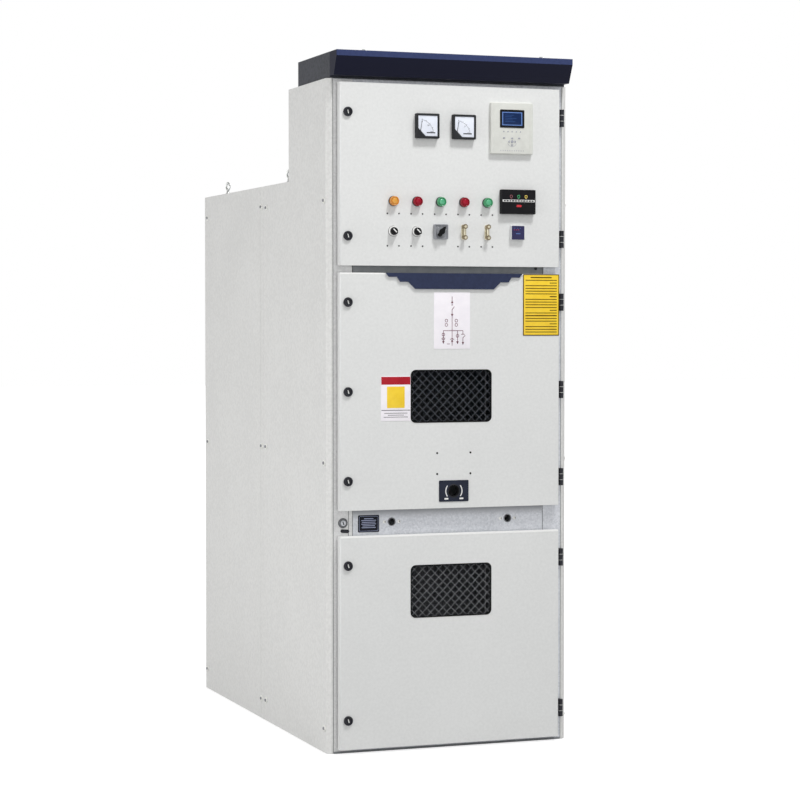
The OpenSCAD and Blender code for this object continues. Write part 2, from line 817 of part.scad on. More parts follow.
module instrument_door() color("whitesmoke") difference() {
    door_pan(instrument_z0, instrument_z1);
    lock_holes(instrument_lock_z);
    for (x = [meter_left_x, meter_right_x])
        skin_hole(door_mid + x, meter_row_z, meter_case_r + case_clear);
    skin_slot(door_mid + relay_x, meter_row_z, relay_w - 2 * cut_lap, relay_h - 2 * cut_lap);
    for (i = [0 : 4]) skin_hole(column(i), lamp_row_z, barrel_r + case_clear);
    for (i = [0 : 2]) skin_hole(column(i), switch_row_z, barrel_r + case_clear);
    for (i = [3, 4], s = [-1, 1])
        skin_hole(column(i), switch_row_z + s * link_gap, link_screw_r + case_clear);
    skin_slot(door_mid + display_x, display_z, display_w - 2 * cut_lap, display_h - 2 * cut_lap);
    skin_slot(door_mid + display_x, switch_row_z, control_side - cut_lap, control_side - cut_lap);
}

module instrument_hinges() color("black") for (z = instrument_hinge_z) hinge_leaf(z);

module instrument_locks() color("black") locks(instrument_lock_z);

module meters() color("black") for (x = [meter_left_x, meter_right_x])
    facing(door_mid + x, door_face, meter_row_z) meter();

// The protection relay: moulded front with side grooves, sunk screen and round keypad, and its case
module relay() color("beige") facing(door_mid + relay_x, door_face, meter_row_z) {
    case_w = relay_w - 2 * (cut_lap + case_clear);
    case_h = relay_h - 2 * (cut_lap + case_clear);
    key_r1 = pad_r / 3;
    difference() {
        bevel_plate(relay_w, relay_h, relay_out);
        translate([0, screen_up, relay_out - screen_recess])
            round_plate(screen_w, screen_h, screen_recess + over, bezel_r);
        for (s = [-1, 1]) translate([s * (relay_w / 2 - rib_inset), 0, relay_out - screen_recess])
            box_plate(screen_recess, relay_h + over, screen_recess + over);
    }
    translate([0, -pad_drop, relay_out]) {
        cylinder(h = key_rise, r = key_r1);
        for (a = [0 : 90 : 270]) rotate([0, 0, a]) translate([pad_r - key_r1, 0, 0])
            cylinder(h = key_rise, r = key_r1 - screen_recess / 2);
    }
    translate([0, 0, -relay_case_d]) box_plate(case_w, case_h, relay_case_d);
}

module orange_lamp() color("orange") lamps([0]);

module red_lamps() color("crimson") lamps([1, 3]);

module green_lamps() color("seagreen") lamps([2, 4]);

module selector_switches() color("black")
    for (i = [0, 1]) facing(column(i), door_face, switch_row_z) selector();

// The cam switch: moulded square plate, round boss and a pointed handle
module cam_switch() color("gray") facing(column(2), door_face, switch_row_z) {
    boss_r = cam_side / 3;
    plate_h = lamp_flange_h * 2;
    tip = cam_side * 2 / 5;
    bevel_plate(cam_side, cam_side, plate_h);
    translate([0, 0, -barrel_d]) cylinder(h = barrel_d, r = barrel_r);
    cylinder(h = plate_h + lamp_flange_h / 2, r = boss_r);
    rotate([0, 0, cam_a]) linear_extrude(knob_h) {
        circle(boss_r / 2);
        polygon([[-boss_r / 2, 0], [-boss_r / 3, -boss_r], [boss_r / 3, -boss_r], [boss_r / 2, 0], [0, tip]]);
    }
}

module test_links() color("goldenrod")
    for (i = [3, 4]) facing(column(i), door_face, switch_row_z) test_link();

// The voltage display: moulded front with three sunk windows and a test button, and its case
module voltage_display() color("black") facing(door_mid + display_x, door_face, display_z) {
    case_w = display_w - 2 * (cut_lap + case_clear);
    case_h = display_h - 2 * (cut_lap + case_clear);
    difference() {
        bevel_plate(display_w, display_h, display_out);
        for (i = [-1 : 1]) translate([i * phase_pitch, phase_up, display_out - screen_recess])
            cylinder(h = screen_recess + over, r = phase_r);
    }
    translate([0, -button_drop, display_out]) round_plate(button_w, button_w / 2, key_rise, button_w / 5);
    translate([0, 0, -barrel_d]) box_plate(case_w, case_h, barrel_d);
}

// The heater controller: moulded front with a raised face, and its case
module heater_controller() color("slateblue") facing(door_mid + display_x, door_face, switch_row_z) {
    case_side = control_side - cut_lap - 2 * case_clear;
    face_side = control_side - cut_lap;
    bevel_plate(control_side, control_side, control_out - key_rise);
    round_plate(face_side, face_side, control_out, bezel_r);
    translate([0, 0, -barrel_d]) box_plate(case_side, case_side, barrel_d);
}

module breaker_door() color("whitesmoke") difference() {
    door_pan(breaker_z0, breaker_z1);
    lock_holes(breaker_lock_z);
    window_cut(breaker_z0 + breaker_window_z);
    skin_hole(crank_hole_x, crank_hole_z, crank_r);
}

module breaker_hinges() color("black") for (z = breaker_hinge_z) hinge_leaf(z);

module breaker_locks() color("black") locks(breaker_lock_z);

module breaker_window() color([0.2, 0.25, 0.28, 0.6]) window_pane(breaker_z0 + breaker_window_z);

module crank_plate() color("black") facing(crank_hole_x, door_face, crank_hole_z) difference() {
    round_plate(crank_plate_w, crank_plate_h, crank_plate_t, bezel_r);
    translate([0, 0, -over]) cylinder(h = crank_plate_t + 2 * over, r = crank_r);
}

// The crest: three steps that narrow downwards, each with sloping ends
module door_crest() color("midnightblue") facing(door_mid + crest_x, door_face, breaker_z1) {
    x1 = crest_half_w - crest_slope - crest_run;
    x2 = x1 - crest_slope - crest_run;
    z1 = -crest_step;
    z2 = z1 - crest_mid_step;
    z3 = z2 - crest_low_step;
    ends = [
        [crest_half_w, 0], [crest_half_w - crest_slope, z1], [x1, z1],
        [x1 - crest_slope, z2], [x2, z2], [x2 - crest_low_slope, z3]
    ];
    far = [for (i = [len(ends) - 1 : -1 : 0]) [-ends[i][0], ends[i][1]]];
    linear_extrude(crest_t) polygon(concat(ends, far));
}

module cable_door() color("whitesmoke") difference() {
    door_pan(cable_z0, cable_z1);
    lock_holes(cable_lock_z);
    window_cut(cable_z0 + cable_window_z);
}

module cable_hinges() color("black") for (z = cable_hinge_z) hinge_leaf(z);

module cable_locks() color("black") locks(cable_lock_z);

module cable_window() color([0.2, 0.25, 0.28, 0.6]) window_pane(cable_z0 + cable_window_z);

base_frame();
floor_plate();
left_post();
right_post();
top_rail();
upper_rail();
band_rail();
sill_rail();
left_side_front();
left_side_rear();
right_side_front();
right_side_rear();
rear_posts();
rear_covers();
rear_roof();
relief_plates();
lifting_eyes();
instrument_roof();
instrument_rear_wall();
compartment_floors();
rear_partition();
wireway_box();
header_brow();
hinge_brackets();
key_lock();
instrument_door();
instrument_hinges();
instrument_locks();
meters();
relay();
orange_lamp();
red_lamps();
green_lamps();
selector_switches();
cam_switch();
test_links();
voltage_display();
heater_controller();
breaker_door();
breaker_hinges();
breaker_locks();
breaker_window();
crank_plate();
door_crest();
cable_door();
cable_hinges();
cable_locks();
cable_window();
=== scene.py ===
# %% [markdown]
# A metal-clad switchgear panel: a tall sheet steel cabinet with three hinged doors, a row of
# instruments and a lower rear part. The solids come as a fixed frame, already in their places.
# This lesson gives them their finishes and adds what the solids leave out: screws, gaskets,
# dials, plates and wire guards.

# %% Load the frame
import json
import math

import bpy
import numpy as np
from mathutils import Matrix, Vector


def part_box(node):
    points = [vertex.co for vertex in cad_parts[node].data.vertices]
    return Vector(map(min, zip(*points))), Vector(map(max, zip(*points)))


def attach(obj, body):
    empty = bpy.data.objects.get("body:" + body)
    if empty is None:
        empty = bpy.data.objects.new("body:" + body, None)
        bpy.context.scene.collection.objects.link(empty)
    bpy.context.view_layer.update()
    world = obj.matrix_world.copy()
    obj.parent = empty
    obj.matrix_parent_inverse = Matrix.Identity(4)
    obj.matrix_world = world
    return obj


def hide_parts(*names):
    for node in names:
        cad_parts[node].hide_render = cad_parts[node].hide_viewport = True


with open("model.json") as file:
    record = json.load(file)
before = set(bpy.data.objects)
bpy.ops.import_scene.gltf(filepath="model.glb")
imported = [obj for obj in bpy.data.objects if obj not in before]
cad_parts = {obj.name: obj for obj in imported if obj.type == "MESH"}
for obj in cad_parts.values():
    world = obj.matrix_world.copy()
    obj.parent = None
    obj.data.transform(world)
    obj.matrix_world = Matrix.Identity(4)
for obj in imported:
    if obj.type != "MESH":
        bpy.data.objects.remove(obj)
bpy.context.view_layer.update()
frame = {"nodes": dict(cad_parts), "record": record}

# %% [markdown]
# The photograph was taken with a long lens from the front left, at about chest height. A short
# lens close by would show the same side but bend the upright edges, so the camera stands more
# than seven metres away, with the lens that makes the cabinet fill the square picture.

# %% Camera
eye_m = (-2.623, -7.412, 1.324)
tilt_deg, swing_deg = -1.903, -20.133
camera = bpy.data.objects.new("camera", bpy.data.cameras.new("camera"))
camera.location = eye_m
camera.rotation_euler = (math.radians(90 + tilt_deg), 0, math.radians(swing_deg))
camera.data.lens = 104.15
camera.data.sensor_width = 36
camera.data.clip_end = 200
bpy.context.scene.collection.objects.link(camera)
bpy.context.scene.camera = camera
print("camera", eye_m)

# %% [markdown]
# Every finish below is a small graph of shader nodes, and one function adds a node, so a finish
# reads as a list of what the surface is made of. Colours are hex values, as on a paint card, turned
# to the linear values that light is added up in. Patterns have their real size in millimetres.


# %% Colours and nodes
def linear(hex_code):
    """A hex colour as linear red, green, blue and alpha: the sRGB curve undone."""
    c = np.array([int(hex_code[i:i + 2], 16) for i in (1, 3, 5)]) / 255
    c = np.where(c <= 0.04045, c / 12.92, ((c + 0.055) / 1.055) ** 2.4)
    return (*c.tolist(), 1.0)


def join(node, inputs):
    """Sets a node's inputs: another node's socket is linked, and a hex colour or a number is set."""
    for key, value in inputs.items():
        if isinstance(value, bpy.types.NodeSocket):
            node.id_data.links.new(value, node.inputs[key])
        else:
            node.inputs[key].default_value = linear(value) if isinstance(value, str) else value


def add(tree, kind, inputs, **settings):
    """Adds one node, with settings as its properties, and gives its outputs."""
    node = tree.nodes.new("ShaderNode" + kind)
    for key, value in settings.items():
        setattr(node, key, value)
    join(node, inputs)
    return node.outputs


mm = 0.001
print("door grey in linear light", [round(v, 3) for v in linear("#e3e4e3")[:3]])

# %% [markdown]
# Four moves come back in most finishes: noise of a given size, a range mapped on to another, two
# tones mixed, and a height that tilts the light. Each is one node. A new finish starts with the
# object's own coordinates, so patterns stay on a door when it swings.


# %% Moves that finishes share
def noise(tree, place, size_mm, detail):
    """Noise whose broadest patches are about size_mm across."""
    return add(tree, "TexNoise", {"Vector": place, "Scale": 1 / (size_mm * mm), "Detail": detail})["Fac"]


def spread(tree, value, low, high, to=(0.0, 1.0)):
    """Maps the range from low to high on to another range, and stops at its ends."""
    ends = {"From Min": low, "From Max": high, "To Min": to[0], "To Max": to[1]}
    return add(tree, "MapRange", {"Value": value, **ends})[0]


def blend(tree, share, first, second):
    """Mixes two colours: the first where the share is 0, the second where it is 1."""
    return add(tree, "Mix", {"Factor": share, "A": first, "B": second}, data_type="RGBA")["Result"]


def relief(tree, height, strength, deep_mm):
    """Tilts the light as a surface of this height would, deep_mm from dip to crest."""
    return add(tree, "Bump", {"Height": height, "Strength": strength, "Distance": deep_mm * mm})[0]


def start(name):
    """A new material, its node tree and the object's own coordinates."""
    material = bpy.data.materials.new(name)
    material.use_nodes = True
    tree = material.node_tree
    return material, tree, add(tree, "TexCoord", {})["Object"]


def shader(material):
    """The one shader of a material, which every finish ends in."""
    return material.node_tree.nodes["Principled BSDF"]


print("moves ready:", [move.__name__ for move in (noise, spread, blend, relief)])

# %% [markdown]
# The doors, end panels, crest and wireway are powder coated. The powder melts into a skin with a
# faint orange peel, about two millimetres from crest to crest, and no two panels come out of the
# oven in quite the same tone. A flat colour would look like card, so the coat has three layers
# of noise: slow drift and fine grain in the tone, and peel in the bump.


# %% Powder coat
def powder_coat(name, light, dark, rough, peel_mm=2.2, lift=0.05, grain=2.0, shine=0.5):
    """Paint baked on sheet steel: its tone is grain times the fine noise plus the slow drift."""
    material, tree, place = start(name)
    drift = noise(tree, place, 220, 3.0)
    fine = noise(tree, place, 9, 4.0)
    both = add(tree, "Math", {0: fine, 1: grain, 2: drift}, operation="MULTIPLY_ADD")[0]
    middle = (1 + grain) / 2
    tone = spread(tree, both, middle - 0.4, middle + 0.4)
    join(shader(material), {
        "Base Color": blend(tree, tone, dark, light),
        "Roughness": spread(tree, drift, 0, 1, (rough - 0.05, rough + 0.07)),
        "Normal": relief(tree, noise(tree, place, peel_mm, 2.0), lift, 0.3),
        "Specular IOR Level": shine})
    return material


# cool and even, so that the shadows of the fittings show
door_coat = powder_coat("powder_coat_light_grey", "#e6e7e6", "#e0e1e0", 0.46)
# warmer than the doors, with a grain that keeps the big side from looking empty
panel_coat = powder_coat("powder_coat_warm_grey", "#e3e3e1", "#dadad8", 0.5, grain=3.0)
# a deep blue with little gloss, the one strong shape across the doors
navy_coat = powder_coat("powder_coat_navy", "#2d3551", "#282f49", 0.5, shine=0.2)
# coarse and nearly black, so the wireway falls back behind the brow
charcoal_coat = powder_coat("powder_coat_charcoal", "#404249", "#303238", 0.5, 3.0, 0.12, 3.0, 0.2)
# dull dark grey under the cabinet
primer_coat = powder_coat("primer_dark_grey", "#4b4f52", "#404447", 0.6, 3.0, 0.15)
coats = (door_coat, panel_coat, navy_coat, charcoal_coat, primer_coat)
print("powder coats", [coat.name for coat in coats])

# %% [markdown]
# The brow is navy too. Its lower face leans back under the top edge, where little light comes, and
# that shade is painted into the coat, so the face is much darker than the band along the top. The paint
# is mixed by how far the sheet looks up and forward, which is one dot product with the surface's normal.

# %% Brow paint
brow_coat = powder_coat("powder_coat_navy_brow_painted_shade", "#3a446c", "#343e62", 0.42, shine=0.1)
tree = brow_coat.node_tree
lit_brow_tone = shader(brow_coat).inputs["Base Color"].links[0].from_socket
up_and_forward = (0, -0.6, 0.8)
normal = add(tree, "NewGeometry", {})["Normal"]
faces_light = add(tree, "VectorMath", {0: normal, 1: up_and_forward}, operation="DOT_PRODUCT")["Value"]
painted_light_share = spread(tree, faces_light, 0.25, 0.55)
# painted shade: where the sheet turns down and away from the light, the navy goes to a near-black
join(shader(brow_coat), {"Base Color": blend(tree, painted_light_share, "#15172a", lit_brow_tone)})
print("brow paint", brow_coat.name)

# %% [markdown]
# Posts, rails and roofs are hot-dip galvanized sheet. As the zinc cools it freezes into crystals,
# each tilted its own way, so the sheet is a patchwork of greys. A Voronoi pattern has the same
# straight-sided cells: each cell takes its own grey and its own gloss.


# %% Zinc
def zinc(name, light, dark, rough, cell_mm, metallic=1.0):
    """Zinc coat: Voronoi cells for the crystals, with a soft cloud of dulled zinc over them."""
    material, tree, place = start(name)
    cells = add(tree, "TexVoronoi", {"Vector": place, "Scale": 1 / (cell_mm * mm), "Randomness": 1.0})
    grey = add(tree, "SeparateColor", {"Color": cells["Color"]})
    cloud = noise(tree, place, 90, 5.0)
    both = add(tree, "Math", {0: grey[0], 1: cloud}, operation="ADD")[0]
    join(shader(material), {
        "Base Color": blend(tree, spread(tree, both, 0.3, 1.7), dark, light),
        "Roughness": spread(tree, grey[1], 0, 1, (rough - 0.08, rough + 0.1)),
        "Normal": relief(tree, grey[2], 0.08, 0.2),
        "Metallic": metallic})
    return material


# dulled sheet: a cool sparkle without mirror lights
spangle = zinc("galvanized_sheet", "#dadce1", "#bfc2c8", 0.46, 5.0, 0.35)
# the same zinc painted paler for the left post: painted light that lifts the shade beside the doors
post_zinc_painted_light = zinc("galvanized_post_painted_light", "#e2e2e2", "#d0d0d0", 0.46, 5.0, 0.25)
# fresh plating on small parts: bright points
bright_zinc = zinc("bright_zinc_plate", "#d8d9d6", "#c0c2c0", 0.3, 1.2)
print("zinc", spangle.name, post_zinc_painted_light.name, bright_zinc.name)

# %% [markdown]
# Hinges and lock heads are zinc castings under a black coat, and instrument cases are moulded
# plastic. Both have a fine grain from the mould, which breaks up the highlight. They differ in
# gloss and in the size of the grain, so one function serves them all, turned brass too.


# %% Moulded and cast pieces
def moulded(name, light, dark, rough, grain_mm=0.9, lift=0.12, coat=0.0, shine=0.5, metallic=0.0):
    """A moulded skin: grain of the mould in the bump, and a slow drift in its tone."""
    material, tree, place = start(name)
    drift = noise(tree, place, 24, 4.0)
    join(shader(material), {
        "Base Color": blend(tree, spread(tree, drift, 0.3, 0.7), dark, light),
        "Roughness": spread(tree, drift, 0, 1, (rough - 0.06, rough + 0.08)),
        "Normal": relief(tree, noise(tree, place, grain_mm, 2.0), lift, 0.15),
        "Coat Weight": coat, "Specular IOR Level": shine, "Metallic": metallic})
    return material


# blacks: a coarse casting, a satin plastic, a deep clear-edged acrylic and a matt rubber
black_casting = moulded("black_coated_zinc_casting", "#2b2c33", "#1d1e24", 0.42, 1.4, shine=0.25)
black_abs = moulded("black_abs", "#2a2b2e", "#222326", 0.5, shine=0.2)
black_acrylic = moulded("black_acrylic", "#17171a", "#101013", 0.35, shine=0.15)
rubber = moulded("epdm_rubber", "#191a1b", "#131415", 0.75, 1.2, 0.2, shine=0.1)
# plastics: an aged cream, a mid grey and a pale grey, all satin
cream_abs = moulded("cream_abs", "#dcddd7", "#d3d4ce", 0.5)
grey_abs = moulded("grey_abs", "#8f9196", "#7f8186", 0.46)
pale_abs = moulded("pale_abs", "#dcdee0", "#d2d4d6", 0.42)
# lamp caps: full colours with a gloss that runs along the flutes
orange_lens = moulded("orange_polycarbonate", "#dd8f22", "#ca7f18", 0.25, 2.0, 0.03, 0.3)
red_lens = moulded("red_polycarbonate", "#9a0c24", "#88081e", 0.25, 2.0, 0.03, 0.05, 0.2)
green_lens = moulded("green_polycarbonate", "#2a975e", "#1f824f", 0.25, 2.0, 0.03, 0.3)
# turned metal: pale bars and darker nuts
brass = moulded("turned_brass", "#e6e0cc", "#cdc4a8", 0.3, 0.6, 0.1, metallic=0.8)
bronze = moulded("dark_bronze", "#988a70", "#776a52", 0.35, 0.6, 0.1, metallic=0.8)
print("moulded finishes, from", black_casting.name, "to", bronze.name)

# %% [markdown]
# The windows are toughened glass in front of an unlit compartment. The pane is thin and flat, so it
# bends nothing that can be seen: it is a dark film that lets most light straight through. Refraction
# would keep the light from the wires behind. The lower pane has a greyer film.


# %% Window glass
def window_glass(name, film, cover):
    """A thin dark film that covers a share of each face, with dust in its gloss."""
    material, tree, place = start(name)
    dust = noise(tree, place, 40, 6.0)
    join(shader(material), {
        "Base Color": film, "Alpha": cover, "Specular IOR Level": 0.02,
        "Roughness": spread(tree, dust, 0, 1, (0.01, 0.06))})
    return material


# nearly black between the wires
glass = window_glass("toughened_glass", "#010306", 0.37)
# greyer, for the lower pane
grey_glass = window_glass("grey_toughened_glass", "#1c1d20", 0.28)
print("glass", glass.name, grey_glass.name)

# %% [markdown]
# The record names a material slot for each solid. A table from slot to finish dresses all of them
# at once, and nothing is missed when a solid is added. Three solids then get a finish of their own.


# %% Finishes on the solids
def dress(node, finish):
    """Gives a solid of the frame another finish."""
    frame["nodes"][node].data.materials[0] = finish


finishes = {
    "door_paint": door_coat, "panel_paint": panel_coat, "galvanized": spangle, "dark_steel": primer_coat,
    "zinc_steel": bright_zinc, "charcoal_paint": charcoal_coat, "navy_paint": navy_coat,
    "black_metal": black_casting, "black_plastic": black_abs, "cream_plastic": cream_abs,
    "grey_plastic": grey_abs, "blue_plastic": pale_abs, "orange_lens": orange_lens, "red_lens": red_lens,
    "green_lens": green_lens, "brass": brass, "window_glass": glass,
}
for row in frame["record"]["subparts"]:
    mesh = frame["nodes"][row["node"]].data
    mesh.materials.clear()
    mesh.materials.append(finishes[row["material_slot"]])
dress("header_brow", brow_coat)
dress("cable_window", grey_glass)
# painted light: the left post takes the paler copy of the zinc
dress("left_post", post_zinc_painted_light)

# %% [markdown]
# Folded sheet has no knife edges: the bend leaves a radius of about its own thickness, and powder
# rounds what is left. The solids come as loose triangles, so a Weld joins them first and a Bevel
# then rounds every edge that turns by more than 40 degrees. The bright line along each edge
# comes from this rounding.

# %% Soft edges
doors = ("instrument", "breaker", "cable")
soft_edges = {
    0.9: [door + "_door" for door in doors]
    + ["left_side_front", "right_side_front", "left_side_rear", "right_side_rear", "rear_covers",
       "header_brow", "wireway_box", "instrument_roof", "rear_roof"],
    0.5: ["left_post", "right_post", "top_rail", "upper_rail", "band_rail", "sill_rail", "door_crest",
          "crank_plate", "hinge_brackets"] + [door + "_hinges" for door in doors],
}
for width_mm, nodes in soft_edges.items():
    for node in nodes:
        weld = frame["nodes"][node].modifiers.new("weld", "WELD")
        weld.merge_threshold = 0.01 * mm
        bevel = frame["nodes"][node].modifiers.new("bevel", "BEVEL")
        bevel.width, bevel.segments = width_mm * mm, 2
        bevel.limit_method, bevel.angle_limit = "ANGLE", math.radians(40)
        bevel.use_clamp_overlap = True
print("soft edges on", sum(map(len, soft_edges.values())), "solids")

# %% [markdown]
# New pieces are grids of points worked out by numpy. Nearly everything on a panel front is a profile
# turned about an axis, as lamps and screws are, or carried round an outline, as bezels and plates
# are. Both give rings of points, and one function joins rings with faces. Drawn by hand, no size
# could be changed later. A shape below is its points and its faces.


# %% Rings of points
def skin(rings, loop=False):
    """Faces between rings of points. The ends get a face each; in a loop the last ring meets the
    first instead."""
    count, length, _ = rings.shape
    index = np.arange(count * length).reshape(count, length)
    index = np.vstack([index, index[:1]]) if loop else index
    a, b = index[:-1], index[1:]
    faces = np.stack([a, np.roll(a, -1, 1), np.roll(b, -1, 1), b], 2).reshape(-1, 4).tolist()
    if not loop:
        faces += [index[0, ::-1].tolist(), index[-1].tolist()]
    return rings.reshape(-1, 3), faces


def turned(profile, count=32, teeth=0, bite=0.0, loop=False):
    """A profile (radius, height) turned about the axis: x = r cos u, y = r sin u. With teeth, the
    radius swells and sinks by bite as a cosine, in proportion to the radius."""
    r, up = np.array(profile, float).T
    u = np.linspace(0, 2 * np.pi, count, endpoint=False)
    wide = r[:, None] * (1 + bite * np.cos(teeth * u)[None])
    rise = np.broadcast_to(up[:, None], wide.shape)
    return skin(np.stack([wide * np.cos(u), wide * np.sin(u), rise], 2), loop)


def carried(outline, normals, profile, loop=False):
    """A profile carried round an outline: its point (out, up) lies out along the normal from the
    outline and up from the outline's plane."""
    out, up = np.array(profile, float).T
    flat = outline[None] + out[:, None, None] * normals[None]
    rise = np.broadcast_to(up[:, None, None], flat.shape[:2] + (1,))
    return skin(np.concatenate([flat, rise], 2), loop)


def prism(layers):
    """Flat outlines (points, height) with the same count of points, from the lowest to the highest."""
    return skin(np.stack([np.insert(np.array(plan, float), 2, up, 1) for plan, up in layers]))


print("a turned ring of 32 points has", len(turned([(1, 0), (1, 1)])[1]), "faces")

# %% [markdown]
# Bezels, plates and cases are rectangles with round corners. Carrying a profile round one keeps the
# corners true: where the profile steps inwards, the corner's radius shrinks with it.


# %% Outlines with round corners
def round_outline(w, h, r, steps):
    """A rectangle with round corners, anticlockwise: each corner is a quarter turn of radius r about
    its own centre."""
    quarter = np.linspace(0, np.pi / 2, steps)
    turn = np.concatenate([quarter + k * np.pi / 2 for k in range(4)])
    centres = np.repeat([[1, 1], [-1, 1], [-1, -1], [1, -1]], steps, 0) * [w / 2 - r, h / 2 - r]
    return centres + r * np.stack([np.cos(turn), np.sin(turn)], 1)


def framed(w, h, r, profile, steps=5, loop=False):
    """A profile carried round a rectangle: for each point (out, up) the rectangle grows by out on
    every side, and its corners grow with it, but never below a fifth of a millimetre."""
    rings = [np.insert(round_outline(w + 2 * out, h + 2 * out, max(r + out, 0.2), steps), 2, up, 1)
             for out, up in profile]
    return skin(np.stack(rings), loop)


def slab(w, h, t, r=1.0, ease=0.3):
    """A plate with round corners whose front edge is eased by a quarter round."""
    bend = np.linspace(0, np.pi / 2, 4)
    return framed(w, h, r, [(0, 0)] + [(ease * (np.cos(a) - 1), t - ease + ease * np.sin(a)) for a in bend])


def circle(r, count):
    """A circle of radius r, anticlockwise, with its outward normals."""
    u = np.linspace(0, 2 * np.pi, count, endpoint=False)
    normals = np.stack([np.cos(u), np.sin(u)], 1)
    return r * normals, normals


print("a slab has", len(slab(10, 10, 1)[0]), "points")

# %% [markdown]
# Shapes are drawn lying on their backs, in millimetres: right, up and out towards the eye. They
# are then stood on the face that carries them. The out direction is right times up, so faces keep
# pointing outwards on every side of the cabinet.

# %% Standing shapes on the cabinet
X, Y, Z = np.eye(3)
FRONT, LEFT, RIGHT, BACK, TOP = (X, Z), (-Y, Z), (Y, Z), (-X, Z), (X, Y)


def stand(shape, at, face=FRONT, turn=0.0):
    """Puts a shape on a face: at + u right + v up + w out, after a turn in its own plane."""
    points, faces = shape
    c, s = math.cos(math.radians(turn)), math.sin(math.radians(turn))
    u, v, w = points.T
    right, up = face
    flat = np.outer(u * c - v * s, right) + np.outer(u * s + v * c, up)
    return np.array(at, float) + flat + np.outer(w, np.cross(right, up)), faces


def copies(shape, spots, face=FRONT, turn=0.0, out=0.0):
    """The same shape at each spot, lifted out from the face."""
    return [stand(shape, np.array(at, float) + out * np.cross(*face), face, turn) for at in spots]


def polar(r, degrees):
    """A step of length r across a front, at an angle from the right: r cos a right and r sin a up."""
    a = math.radians(degrees)
    return r * (math.cos(a) * X + math.sin(a) * Z)


print("out of the front is", np.cross(*FRONT))

# %% [markdown]
# A piece is one object made of many shapes. It rides on a body of the frame, so it swings with its
# door, and it may stand in for a solid that it shows in finer form. The places of the solids come
# from their boxes, so fittings follow when the frame changes.


# %% Pieces
def piece(name, shapes, material, body, replaces=()):
    """One object out of several shapes, in metres, riding on a body of the frame."""
    offsets = np.cumsum([0] + [len(points) for points, _ in shapes])
    points = np.concatenate([points for points, _ in shapes]) * mm
    faces = [[i + first for i in face] for (_, group), first in zip(shapes, offsets.tolist())
             for face in group]
    mesh = bpy.data.meshes.new(name)
    mesh.from_pydata(points.tolist(), [], faces)
    mesh.polygons.foreach_set("use_smooth", np.array([len(face) < 5 for face in faces]))
    mesh.set_sharp_from_angle(angle=math.radians(32))
    mesh.materials.append(material)
    made = bpy.data.objects.new(name, mesh)
    bpy.context.scene.collection.objects.link(made)
    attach(made, body)
    if replaces:
        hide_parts(*replaces)
    print(name, len(points), "points on", body)


def node_box(node):
    """A solid's lowest and highest corners in millimetres."""
    return np.array([list(corner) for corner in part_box(node)]) / mm


face_y = node_box("instrument_door")[0][1]
frame_y = node_box("band_rail")[0][1]


def on_door(x, z, out=0.0):
    """A spot on the faces of the doors, or out in front of them."""
    return np.array([x, face_y - out, z])


def on_frame(x, z, out=0.0):
    """A spot on the front of the fixed frame, or out in front of it."""
    return np.array([x, frame_y - out, z])


def door_middle(node):
    """The middle of a fitting, brought forward to the face of its door."""
    x, _, z = node_box(node).mean(0)
    return on_door(x, z)


print("door faces at", face_y, "frame at", frame_y)

# %% [markdown]
# The signal lamps are coloured polycarbonate caps. The side of a cap is fluted so that fingers can
# unscrew it, and its face is a shallow dome inside a groove, which spreads the light. A cosine in
# the radius gives the flutes; twenty four of them fit a cap of this size.

# %% Signal lamps
INSTRUMENTS = "instrument_door"
lamp_pitch = 77.5
lamp_x = door_middle("orange_lamp")[0] + lamp_pitch * np.arange(5)
lamp_z = door_middle("orange_lamp")[2]
dome_arc = np.linspace(1.5, 0.15, 7)
dome = turned([(9.4, 14.6)] + [(9.4 * np.sin(a), 15.4 + 3.0 * np.cos(a)) for a in dome_arc], 40)
flange = turned([(14.6, 0), (15.5, 0.6), (15.5, 3.8), (14.9, 4.6), (12, 4.9)], 48)
cap = turned([(13.2, 4.5), (14.3, 5.6), (14.4, 15.0), (13.8, 16.4), (11.8, 17.2), (10.8, 16.6),
              (10.2, 15.2), (2, 15)], 96, 24, 0.022)
# diffusers: paler than their caps, as if a little lit
orange_face = moulded("lit_orange_diffuser", "#e7a73d", "#dc9930", 0.3, 2.0, 0.03, 0.3)
red_face = moulded("lit_red_diffuser", "#a50c2a", "#980926", 0.3, 2.0, 0.03, 0.05, 0.2)
green_face = moulded("lit_green_diffuser", "#58b888", "#49a878", 0.3, 2.0, 0.03, 0.3)
lamps = (("orange_lamp", [0], orange_lens, orange_face), ("red_lamps", [1, 3], red_lens, red_face),
         ("green_lamps", [2, 4], green_lens, green_face))
for name, columns, lens, face in lamps:
    spots = [on_door(x, lamp_z) for x in lamp_x[columns]]
    piece(name + "_faces", copies(dome, spots), face, INSTRUMENTS)
    piece(name + "_caps", copies(cap, spots), lens, INSTRUMENTS, [name])
all_lamps = [on_door(x, lamp_z) for x in lamp_x]
# a black flange rings the foot of each cap, and its black also stands for the shade round the cap's rim:
# painted shade
piece("lamp_flanges", copies(flange, all_lamps), black_casting, INSTRUMENTS)

# %% [markdown]
# The selector switches have a bright ring, a black knob and a grip with a white line that shows
# which way it points. The grip is a bar with round ends, made like a plate, only taller.

# %% Selector switches
switch_z = door_middle("selector_switches")[2]
switch_row = [on_door(x, switch_z) for x in lamp_x]
selectors = switch_row[:2]
selector_turn = 45
selector_ring = turned([(14.0, 0), (15.2, 0.5), (15.2, 5.4), (14.4, 6.8), (12.6, 7.2), (12.2, 6.0)], 48)
knob = turned([(11.6, 0.2), (11.6, 12.5), (11.1, 13.8), (9.8, 14.6), (3.0, 14.8)], 40)
grip = slab(8.4, 21, 7.4, 3.9, 1.4)
grip_line = slab(3.4, 15, 0.5, 1.2, 0.2)
selector_base = turned([(16.2, 0), (16.2, 0.8), (15.6, 1.2), (12, 1.2)], 48)
